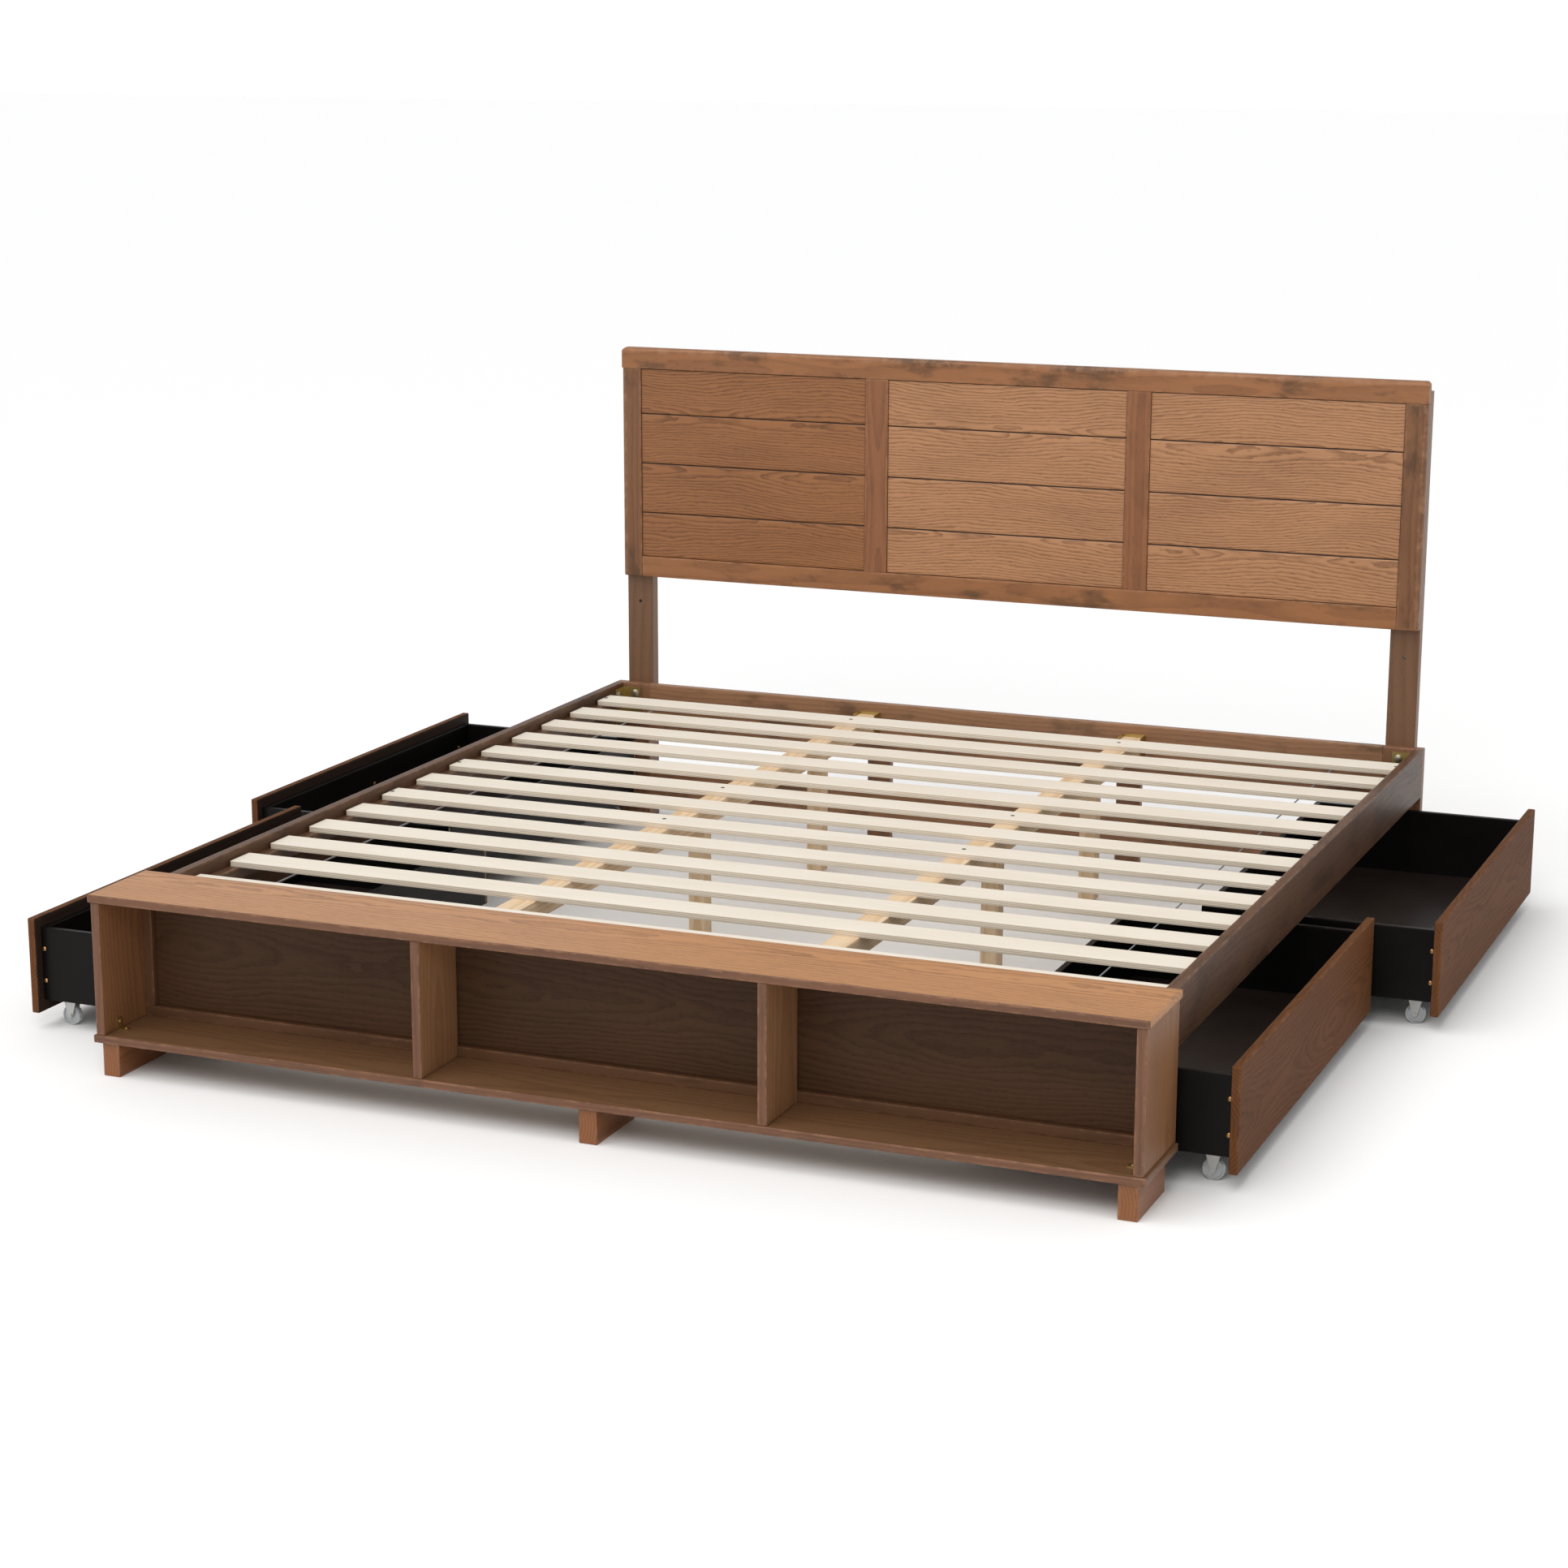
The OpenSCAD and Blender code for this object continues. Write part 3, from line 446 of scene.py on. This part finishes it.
def round_upper_corners(verts, lo, hi, radius):
    """Cuts a rail's upper corners round. Past a corner circle's centre both ways, the square
    is pulled onto the disc: a point's offset is scaled by its larger side over its length."""
    verts = verts.copy()
    for side in (-1, 1):
        centre = np.array([hi[0] - radius if side > 0 else lo[0] + radius, hi[2] - radius])
        d = verts[:, [0, 2]] - centre
        out = (d[:, 0] * side > 0) & (d[:, 1] > 0)
        scale = np.abs(d).max(1) / np.maximum(np.hypot(d[:, 0], d[:, 1]), 1e-9)
        pulled = centre + d * scale[:, None]
        verts[:, [0, 2]] = np.where(out[:, None], pulled, verts[:, [0, 2]])
    return verts


lo, hi = map(np.array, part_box("headboard_top_rail"))
verts, faces, grain, edge = board_grid(
    lo, hi, "x", radii=(EASE, EASE, EASE, HEAD_ROUND), steps=5, extra=CORNER_STATIONS)
verts = round_upper_corners(verts, lo, hi, HEAD_ROUND)
place("headboard_top_rail", verts, faces, grain, edge, "frame", "walnut_frame", [rail_wood])

# ---- Headboard stiles, mullions and bottom rail ----
# The same stained rubberwood: stiles with a rounded outer front edge run down past the
# bottom rail; two mullions butt between the rails. All are dowelled and glued.
STILE_W, MULLION_W, MULLION_EASE, RAIL_H = 0.050, 0.056, 0.0012, 0.049
stile_wood = timber("walnut_stile", (0.200, 0.085, 0.034), (0.092, 0.036, 0.014), WALNUT_WORN_AND_LIT,
                    ring=0.008, sway=0.03, contrast=0.38, cloud=0.30, pores=0.35, knot=0.35, blotch=0.7)
lo, hi = map(np.array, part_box("headboard_stiles"))
y0, y1, z_low, z_high = lo[1], hi[1], lo[2], hi[2]
stile_in = hi[0] - STILE_W
stiles = [board_grid((x0, y0, z_low), (x1, y1, z_high), "z", steps=5, radii=radii)
          for x0, x1, radii in ((-hi[0], -stile_in, (EASE, EASE, HEAD_ROUND, EASE)),
                                (stile_in, hi[0], (EASE, EASE, EASE, HEAD_ROUND)))]
place("headboard_stiles", *join(stiles), "frame", "walnut_frame", [stile_wood])
plank_w = (2 * stile_in - 2 * MULLION_W) / 3
mullion_x = (plank_w + MULLION_W) / 2
mullions = [board_grid((x - MULLION_W / 2, y0, z_low + RAIL_H), (x + MULLION_W / 2, y1, z_high), "z",
                       ease=MULLION_EASE) for x in (-mullion_x, mullion_x)]
mullion_wood = timber("walnut_mullion", (0.258, 0.101, 0.039), (0.130, 0.050, 0.019), WALNUT_WORN_AND_LIT,
                      ring=0.006, sway=0.03, contrast=0.35, cloud=0.22, pores=0.35, blotch=0.25)
place("headboard_mullions", *join(mullions), "frame", "walnut_frame", [mullion_wood])
rail = board_grid((-stile_in, y0, z_low), (stile_in, y1, z_low + RAIL_H), "x")
place("headboard_bottom_rail", *rail, "frame", "walnut_frame", [rail_wood])

# ---- Headboard panels ----
# Three boards faced with crown-cut ash veneer, stained like the frame. V-grooves cut each
# into four planks; the face sits back a little from the frame.
GROOVE_PITCH, GROOVE_HALF, PANEL_T, PANEL_BACK, PANEL_EASE = 0.119, 0.0016, 0.014, 0.0025, 0.0010
PLANK_RADII = (PANEL_EASE, PANEL_EASE, GROOVE_HALF, GROOVE_HALF)
VENEER = dict(ring=0.0068, sway=0.10, waver=0.018, fibre=0.0014, pore=0.10, contrast=0.55,
              cloud=0.35, pores=0.65, bump=0.2, wear_and_light_share=0.0)
# The middle and right panels take the lighter copy of the veneer and the left panel the darker one: this is
# painted light, a lit copy on the right and painted shade on the left, where less light falls
lit_veneer = timber("walnut_veneer", (0.430, 0.213, 0.101), (0.170, 0.070, 0.027),
                      WALNUT_WORN_AND_LIT, **VENEER)
shaded_veneer = timber("walnut_veneer_painted_shade", (0.295, 0.121, 0.042), (0.116, 0.041, 0.012),
                     WALNUT_WORN_AND_LIT, **VENEER)
# Groove chamfers and plank ends take a near-black colour: partly stain pooled in the V-grooves, partly
# painted shade in the seams round the panels and under the top rail
groove_stain_and_shade = timber("walnut_groove_stain_and_shade", (0.05, 0.024, 0.013), (0.03, 0.014, 0.008), WALNUT_WORN_AND_LIT, wear_and_light_share=0.0)
z_mid = (z_low + RAIL_H + z_high) / 2
breaks = [z_low + RAIL_H, z_mid - GROOVE_PITCH, z_mid, z_mid + GROOVE_PITCH, z_high]
front = y0 + PANEL_BACK
planks, kinds = [], []
for column in (-1, 0, 1):
    x = column * (plank_w + MULLION_W)
    for low, high in zip(breaks, breaks[1:]):
        crown = (high - low) / 2 * (-1 if high == z_high else 1)
        plank = board_grid(
            (x - plank_w / 2, front, low), (x + plank_w / 2, front + PANEL_T, high), "x",
            ease=PANEL_EASE, steps=1, radii=PLANK_RADII,
            pith=(crown * draws.uniform(0.7, 1.1), draws.uniform(0.012, 0.03)))
        middle = plank[0][np.array(plank[1][:-2])].mean(1)
        cut = np.abs(middle[:, 2] - (low + high) / 2) > (high - low) / 2 - GROOVE_HALF
        end = np.abs(middle[:, 0] - x) > plank_w / 2 - PANEL_EASE
        planks.append(plank)
        # The left column of planks takes the darker copy, painted shade
        kinds.append(np.r_[np.where(cut | end, 2, int(column < 0)), 2, 2])
place("headboard_panels", *join(planks), "frame", "walnut_panel", [lit_veneer, shaded_veneer, groove_stain_and_shade],
      np.concatenate(kinds))

# ---- Posts and their bolts ----
# Two square-edged posts bolted behind the stiles and the corner legs, each with an open
# hole for a second panel height. Plain domed bolts hold them from behind.
post_wood = timber("walnut_post", (0.175, 0.086, 0.043), (0.095, 0.044, 0.021), WALNUT_WORN_AND_LIT,
                   ring=0.010, sway=0.03, contrast=0.30, cloud=0.40, pores=0.35, carried=True)


def coat(node, mat):
    """Gives a carried-over node its finish in every slot."""
    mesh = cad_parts[node].data
    mesh.materials.clear()
    mesh.materials.append(mat)


coat("headboard_posts", post_wood)

# Smudges and fine scratches, shared by metal, laminate and plastic
SCRATCHES, SCRATCH_RUN, SCRATCH_TURN = 900.0, (1.0, 0.06, 1.0), (0.1, 0.2, 0.5)
GRIT_RELIEF = 0.0002
mottle, m_in, m_out = new_group(
    "fine_mottle", [("Vector", "Vector", None), ("Size", "Float", 0.02), ("Fine", "Float", 0.0015)],
    [("Cloud", "Float"), ("Grit", "Float"), ("Scratch", "Float")])
where = m_in.outputs["Vector"]
big = noise(mottle, where, sums(mottle, "DIVIDE", 1.0, m_in.outputs["Size"]), 4.0, 0.6)
grit = noise(mottle, where, sums(mottle, "DIVIDE", 1.0, m_in.outputs["Fine"]), 2.0, 0.6)
long_way = wire(mottle, "Mapping", {"Scale": SCRATCH_RUN, "Rotation": SCRATCH_TURN}, {"Vector": where})
lines = noise(mottle, long_way.outputs[0], SCRATCHES, 2.0, 0.5)
scratch = wire(mottle, "MapRange", {"From Min": 0.63, "From Max": 0.70}, {"Value": lines}).outputs[0]
for label, source in (("Cloud", big), ("Grit", grit), ("Scratch", scratch)):
    mottle.links.new(source, m_out.inputs[label])


def smudged(name, colour, other, size, rough, cloudy, scratched, bump):
    """Two colours mixed by smudges, with smudges and scratches in the roughness and a fine
    grit in the relief."""
    mat, tree, shader = shader_material(name)
    marks = wire(tree, "Group", {"Size": size}, {"Vector": wire(tree, "TexCoord").outputs["Object"]},
                 node_tree=mottle).outputs
    tree.links.new(blended(tree, marks["Cloud"], colour, other), shader.inputs["Base Color"])
    finish(tree, shader, rough, ((marks["Cloud"], cloudy), (marks["Scratch"], scratched)),
           marks["Grit"], bump, GRIT_RELIEF)
    return mat, shader


def plated(name, bright, dull, rough, size=0.02):
    """Plated metal, bright and dull by smudges."""
    mat, shader = smudged(name, bright, dull, size, rough, cloudy=0.2, scratched=0.2, bump=0.05)
    shader.inputs["Metallic"].default_value = 1.0
    return mat


dark_steel = plated("dark_steel", (0.20, 0.19, 0.18), (0.10, 0.095, 0.09), 0.32)
coat("headboard_bolts", dark_steel)

# ---- Side rails and cross rails ----
# Planed boards on edge, the side rails darker than the rest, which is painted shade for the shadow on their
# faces; the cross rail and the low stretcher run between the head legs, and a rail behind the footboard
# ties the foot end.
shaded_side_wood = timber("walnut_side_painted_shade", (0.112, 0.053, 0.027), (0.053, 0.025, 0.012), WALNUT_WORN_AND_LIT,
                   ring=0.008, sway=0.05, contrast=0.32, cloud=0.3, pores=0.3, sheen=0.2, knot=0.2,
                   wear_and_light_share=0.25, blotch=0.5)
cross_wood = timber("walnut_cross", (0.290, 0.145, 0.072), (0.135, 0.062, 0.028), WALNUT_WORN_AND_LIT,
                    ring=0.008, sway=0.05, contrast=0.3, cloud=0.3, pores=0.3, knot=0.4, blotch=0.7)
for node in ("side_rail_left", "side_rail_right"):
    place(node, *board_grid(*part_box(node), "y"), "frame", "walnut_frame", [shaded_side_wood])
for node in ("head_cross_rail", "head_stretcher"):
    place(node, *board_grid(*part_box(node), "x"), "frame", "walnut_frame", [cross_wood])
inner_wood = timber("walnut_inner", (0.115, 0.056, 0.028), (0.060, 0.028, 0.013), WALNUT_WORN_AND_LIT,
                    ring=0.010, sway=0.04, contrast=0.32, cloud=0.45, pores=0.3, knot=0.12)
place("foot_cross_rail", *board_grid(*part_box("foot_cross_rail"), "x"), "frame", "walnut_back",
      [inner_wood])

# ---- Slat ledgers ----
# Square softwood strips screwed inside the side rails; the slats' ends rest on them.
LEDGER = 0.025


def twins(lo, hi, width, along):
    """Two equal boards of one width at the left and the right end of a box."""
    return [board_grid((x, lo[1], lo[2]), (x + width, hi[1], hi[2]), along)
            for x in (lo[0], hi[0] - width)]


lo, hi = map(np.array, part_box("slat_ledgers"))
place("slat_ledgers", *join(twins(lo, hi, LEDGER, "y")), "frame", "walnut_back", [inner_wood])

# ---- Head legs and the plank legs between them ----
# Boards on end, stained like the rails; the corner pair stands under the side rails, the
# other pair is screwed behind the cross rail and the stretcher.
LEG_W, PLANK_LEG_W = 0.090, 0.058
leg_wood = timber("walnut_leg", (0.21, 0.098, 0.046), (0.105, 0.046, 0.020), WALNUT_WORN_AND_LIT,
                  ring=0.009, sway=0.03, contrast=0.36, cloud=0.38, pores=0.3)
for node, width in (("head_legs", LEG_W), ("head_centre_legs", PLANK_LEG_W)):
    lo, hi = map(np.array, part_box(node))
    place(node, *join(twins(lo, hi, width, "z")), "frame", "walnut_frame", [leg_wood])

# ---- Centre beams and their legs ----
# Bare planed pine: two beams along the bed carry the slats, each on two square legs that
# are screwed up from below, with a plastic glide under each leg.
BEAM_W, BEAM_LEG = 0.050, 0.037
pine = timber("bare_pine", (0.74, 0.56, 0.37), (0.56, 0.36, 0.19), (0.80, 0.65, 0.47), ring=0.0065,
              sway=0.035, waver=0.003, contrast=0.55, cloud=0.25, pores=0.06, knot=0.25,
              rough=0.6, sheen=0.25, bump=0.1)
lo, hi = map(np.array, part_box("centre_beams"))
place("centre_beams", *join(twins(lo, hi, BEAM_W, "y")), "frame", "pine", [pine])
lo, hi = map(np.array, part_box("centre_legs"))
posts = [board_grid((x, y, lo[2]), (x + BEAM_LEG, y + BEAM_LEG, hi[2]), "z")
         for x in (lo[0], hi[0] - BEAM_LEG) for y in (lo[1], hi[1] - BEAM_LEG)]
place("centre_legs", *join(posts), "frame", "pine", [pine])


def moulded(name, colour, other, rough, gloss=0.5):
    """Moulded plastic or laminate: a colour with faint clouds and a fine even grit."""
    mat, shader = smudged(name, colour, other, 0.08, rough, cloudy=0.15, scratched=0.12, bump=0.15)
    shader.inputs["Specular IOR Level"].default_value = gloss
    return mat


coat("leg_glides", moulded("glide_plastic", (0.012, 0.012, 0.012), (0.022, 0.022, 0.022), 0.45))

# ---- Hangers, corner brackets and bolts ----
# Pressed sheet, yellow zinc plated: U hangers carry the beams' ends and angle plates tie
# the four corners, with domed bolts through them.
yellow_zinc = plated("yellow_zinc", (0.60, 0.47, 0.14), (0.45, 0.34, 0.16), 0.30)
for node in ("beam_hangers", "corner_brackets", "footboard_brackets"):
    coat(node, yellow_zinc)
coat("corner_bolts", plated("bolt_steel", (0.45, 0.40, 0.30), (0.28, 0.25, 0.20), 0.28))

# ---- Slats, their screws and cords ----
# Thin boards of poplar plywood laid across; some are screwed down to the ledgers and beams,
# and two grey cords stapled underneath keep their spacing.
SLAT_W, SLAT_PITCH, EVEN_SLATS, PLIES, CUT = 0.070, 0.1515, 12, 7, 0.0008
PLY_PALE, PLY_WARM, PLY_CORE = (0.80, 0.735, 0.635), (0.66, 0.575, 0.455), (0.50, 0.38, 0.25)
slat_ply, tree, shader = shader_material("poplar_ply")
source = wire(tree, "Attribute", attribute_name="grain").outputs["Vector"]
wood = grown(tree, source, ring=0.012, sway=0.05, waver=0.006, fibre=0.0018, pore=0.5)
lo, hi = map(np.array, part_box("slats"))
slat_t = hi[2] - lo[2]
depth = wire(tree, "SeparateXYZ", links={0: source}).outputs[2]
layer = sums(tree, "MULTIPLY", sums(tree, "ADD", depth, slat_t / 2), PLIES / slat_t)
odd = sums(tree, "GREATER_THAN", sums(tree, "MODULO", sums(tree, "SUBTRACT", layer, 0.001), 2.0), 1.0)
tone = toned(tree, wood, rings=0.28, fibre=0.8, cloud=0.9, fibre_mid=0.45, cloud_mid=0.45)
pale = blended(tree, tone, PLY_PALE, PLY_WARM)
pale = blended(tree, sums(tree, "MULTIPLY", odd, 0.75), pale, PLY_CORE)
tree.links.new(pale, shader.inputs["Base Color"])
shader.inputs["Specular IOR Level"].default_value = 0.25
finish(tree, shader, 0.5, ((wood["Fibre"], 0.2),), wood["Fibre"], 0.12, 0.0005)
starts = [lo[1]] + [hi[1] - SLAT_W - k * SLAT_PITCH for k in reversed(range(EVEN_SLATS))]
boards = [board_grid((lo[0], y, lo[2]), (hi[0], y + SLAT_W, hi[2]), "x", ease=CUT, steps=2,
                     pith=(-draws.uniform(0.06, 0.5), 0.0)) for y in starts]
place("slats", *join(boards), "frame", "poplar_ply", [slat_ply])
coat("slat_screws", dark_steel)

CORD_DARK, CORD_LIGHT, TWIST, STRANDS = (0.16, 0.165, 0.175), (0.30, 0.31, 0.33), 0.6, 260.0
cord, tree, shader = shader_material("grey_cord")
twist = wire(tree, "Mapping", {"Rotation": (0, 0, TWIST)},
             {"Vector": wire(tree, "TexCoord").outputs["Object"]})
braid = wire(tree, "TexWave", {"Scale": STRANDS, "Distortion": 1.5, "Detail": 2.0},
             {"Vector": twist.outputs[0]}, bands_direction="Y").outputs["Fac"]
tree.links.new(blended(tree, braid, CORD_DARK, CORD_LIGHT), shader.inputs["Base Color"])
relief = wire(tree, "Bump", {"Strength": 0.6, "Distance": 0.0005}, {"Height": braid})
tree.links.new(relief.outputs[0], shader.inputs["Normal"])
shader.inputs["Roughness"].default_value = 0.85
coat("slat_straps", cord)

# ---- Footboard boards ----
# Two long boards faced with ash veneer, their front edges and eased edges darker, partly a darker stain and
# partly painted shade; two ends and two dividers stand between them and make three open bays.
END_T, SHELF_EASE = 0.018, 0.0022
# Darker colours for the front edges and eased edges of the footboard boards: partly a darker stain, partly
# painted shade
RUBBED_AND_SHADED, RUBBED_DARK_AND_SHADED = (0.15, 0.068, 0.034), (0.14, 0.065, 0.033)
edging_stain_and_shade = timber("walnut_edging_stain_and_shade", (0.145, 0.060, 0.028), (0.078, 0.031, 0.014), (0.27, 0.13, 0.065),
                   ring=0.006, sway=0.02, contrast=0.4, cloud=0.4, pores=0.3, wear_and_light_share=0.5, blotch=0.3)
shelf_wood = timber("walnut_shelf", (0.475, 0.226, 0.090), (0.225, 0.092, 0.032), RUBBED_AND_SHADED,
                    ring=0.0095, sway=0.06, waver=0.018, fibre=0.0016, pore=0.15, contrast=0.5,
                    cloud=0.25, pores=0.6, bump=0.2, wear_and_light_share=0.5)
top = board_grid(*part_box("footboard_top"), "x", ease=SHELF_EASE, pith=(0.05, 0.03))
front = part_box("footboard_top")[0][1] + SHELF_EASE
place("footboard_top", *top, "frame", "walnut_frame", [shelf_wood, edging_stain_and_shade], band_marks(top, 1, front))
# The low shelf is darker than the top board: painted shade for the shadow that the top board and the bays
# cast on it
shaded_low_shelf_wood = timber("walnut_low_shelf_painted_shade", (0.175, 0.089, 0.040), (0.088, 0.042, 0.018), RUBBED_AND_SHADED,
                    ring=0.010, sway=0.08, waver=0.010, contrast=0.38, cloud=0.38, pores=0.35, wear_and_light_share=0.6)
low = board_grid(*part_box("footboard_bottom"), "x", ease=SHELF_EASE)
place("footboard_bottom", *low, "frame", "walnut_frame", [shaded_low_shelf_wood, edging_stain_and_shade], band_marks(low, 1, front))
UPRIGHT = dict(ring=0.009, sway=0.05, contrast=0.36, cloud=0.38, pores=0.35, wear_and_light_share=0.5)
end_wood = timber("walnut_end", (0.236, 0.107, 0.045), (0.122, 0.049, 0.020), RUBBED_DARK_AND_SHADED, **UPRIGHT)
divider_wood = timber("walnut_divider", (0.292, 0.148, 0.068), (0.152, 0.070, 0.031), RUBBED_DARK_AND_SHADED,
                      **UPRIGHT)
for node, wood in (("footboard_ends", end_wood), ("footboard_dividers", divider_wood)):
    lo, hi = map(np.array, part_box(node))
    pair = twins(lo, hi, END_T, "z")
    marks = np.concatenate([band_marks(side, 1, lo[1] + EASE) for side in pair])
    place(node, *join(pair), "frame", "walnut_frame", [wood, edging_stain_and_shade], marks)

# ---- Footboard back ----
# A thin stained plywood panel stands behind the bays, inside a frame of square strips.
STRIP_W, STRIP_EASE, PLY_EASE = 0.020, 0.001, 0.0004
# The back panel's dark colour is painted shade for the dim insides of the bays
shaded_back_wood = timber("walnut_back_panel_painted_shade", (0.072, 0.035, 0.017), (0.032, 0.014, 0.006), RUBBED_DARK_AND_SHADED,
                   ring=0.009, sway=0.10, waver=0.02, fibre=0.0014, contrast=0.35, cloud=0.5,
                   pores=0.5, sheen=0.12, wear_and_light_share=0.0)
strip_wood = timber("walnut_strip", (0.115, 0.054, 0.026), (0.058, 0.026, 0.012), WALNUT_WORN_AND_LIT,
                    ring=0.006, sway=0.03, contrast=0.35, cloud=0.4, pores=0.3, sheen=0.2, wear_and_light_share=0.2)
lo, hi = map(np.array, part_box("footboard_back_panel"))
place("footboard_back_panel", *board_grid(lo, hi, "x", ease=PLY_EASE, steps=1, pith=(0.02, 0.045)),
      "frame", "walnut_back", [shaded_back_wood])
lo, hi = map(np.array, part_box("footboard_back_frame"))
strips = [board_grid((lo[0], lo[1], z), (hi[0], hi[1], z + STRIP_W), "x", ease=STRIP_EASE)
          for z in (lo[2], hi[2] - STRIP_W)]
strips += [board_grid((x, lo[1], lo[2] + STRIP_W), (x + STRIP_W, hi[1], hi[2] - STRIP_W), "z",
                      ease=STRIP_EASE) for x in (lo[0], hi[0] - STRIP_W)]
place("footboard_back_frame", *join(strips), "frame", "walnut_back", [strip_wood])

# ---- Footboard feet ----
# Three short planks of solid wood on edge, stained, under the bottom board.
FOOT_T = 0.035
foot_wood = timber("walnut_foot", (0.235, 0.086, 0.027), (0.120, 0.042, 0.013), WALNUT_WORN_AND_LIT,
                   ring=0.006, sway=0.02, contrast=0.45, cloud=0.35, pores=0.35)
lo, hi = map(np.array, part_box("footboard_feet"))
feet = [board_grid((x, lo[1], lo[2]), (x + FOOT_T, hi[1], hi[2]), "y")
        for x in (lo[0], (lo[0] + hi[0] - FOOT_T) / 2, hi[0] - FOOT_T)]
place("footboard_feet", *join(feet), "frame", "walnut_frame", [foot_wood])

# ---- Drawers ----
# Each is a box of black laminated board, bolted behind a stained and veneered front with a darker
# inner face; its dark brown bottom is let in between the walls, whose sawn back ends are left raw.
WALL_T, WALL_EASE, FRONT_EASE = 0.012, 0.0006, 0.002
CHIPS, CHIP_PALE, CHIP_DARK = 900.0, (0.36, 0.25, 0.15), (0.20, 0.13, 0.075)
front_wood = timber("walnut_drawer", (0.128, 0.050, 0.019), (0.062, 0.024, 0.009), (0.22, 0.10, 0.05),
                    ring=0.0065, sway=0.10, waver=0.014, fibre=0.0014, pore=0.2, contrast=0.36,
                    cloud=0.4, pores=0.5, rough=0.62, sheen=0.06, wear_and_light_share=0.4)
inner_face = timber("walnut_drawer_inner", (0.036, 0.022, 0.016), (0.018, 0.011, 0.008), (0.10, 0.05, 0.03),
                    ring=0.0065, sway=0.08, waver=0.014, contrast=0.36, cloud=0.4, pores=0.4,
                    rough=0.62, sheen=0.06, wear_and_light_share=0.3)
black = moulded("black_laminate", (0.0030, 0.0025, 0.0023), (0.005, 0.0042, 0.0038), 0.30, 0.13)
brown = moulded("brown_laminate", (0.0105, 0.0065, 0.0055), (0.019, 0.012, 0.010), 0.30, 0.22)
raw_core, tree, shader = shader_material("raw_board_core")
chips = wire(tree, "TexVoronoi", {"Scale": CHIPS}, {"Vector": wire(tree, "TexCoord").outputs["Object"]})
tree.links.new(blended(tree, chips.outputs["Distance"], CHIP_PALE, CHIP_DARK), shader.inputs["Base Color"])
shader.inputs["Roughness"].default_value = 0.9
caster_steel = plated("caster_steel", (0.55, 0.55, 0.54), (0.40, 0.40, 0.39), 0.28, size=0.01)
bolt_brass = plated("bolt_brass", (0.60, 0.34, 0.15), (0.36, 0.19, 0.08), 0.25, size=0.006)
clear_grey = moulded("wheel_plastic", (0.74, 0.76, 0.77), (0.64, 0.66, 0.67), 0.16)
shader = clear_grey.node_tree.nodes["Principled BSDF"]
shader.inputs["Transmission Weight"].default_value = 0.55
shader.inputs["IOR"].default_value = 1.49
for corner in ("rf", "rb", "lf", "lb"):
    body = "drawer_" + corner
    node = body + "_front"
    lo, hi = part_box(node)
    front = board_grid(lo, hi, "y", ease=FRONT_EASE)
    if corner[0] == "r":
        inside = band_marks(front, 0, lo[0] + FRONT_EASE / 2)
    else:
        inside = band_marks(front, 0, hi[0] - FRONT_EASE / 2)
        inside[:-2] = 1 - inside[:-2]
    place(node, *front, body, "walnut_frame", [front_wood, inner_face], inside)
    lo, hi = map(np.array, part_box(body + "_walls"))
    walls = [board_grid((lo[0], y, lo[2]), (hi[0], y + WALL_T, hi[2]), "x", ease=WALL_EASE, steps=2)
             for y in (lo[1], hi[1] - WALL_T)]
    walls += [board_grid((x, lo[1] + WALL_T, lo[2]), (x + WALL_T, hi[1] - WALL_T, hi[2]), "y",
                         ease=WALL_EASE, steps=2) for x in (lo[0], hi[0] - WALL_T)]
    verts, faces, grain, edge = join(walls)
    kinds = np.concatenate([np.r_[np.zeros(len(w[1]) - 2), 1, 1] for w in walls])
    place(body + "_walls", verts, faces, grain, edge, body, "black_laminate", [black, raw_core], kinds)
    node = body + "_bottom"
    place(node, *board_grid(*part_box(node), "y", ease=PLY_EASE, steps=1), body, "brown_laminate", [brown])
    coat(body + "_casters", caster_steel)
    coat(body + "_bolts", bolt_brass)
    for row in ("front", "back"):
        coat(f"{body}_wheels_{row}", clear_grey)
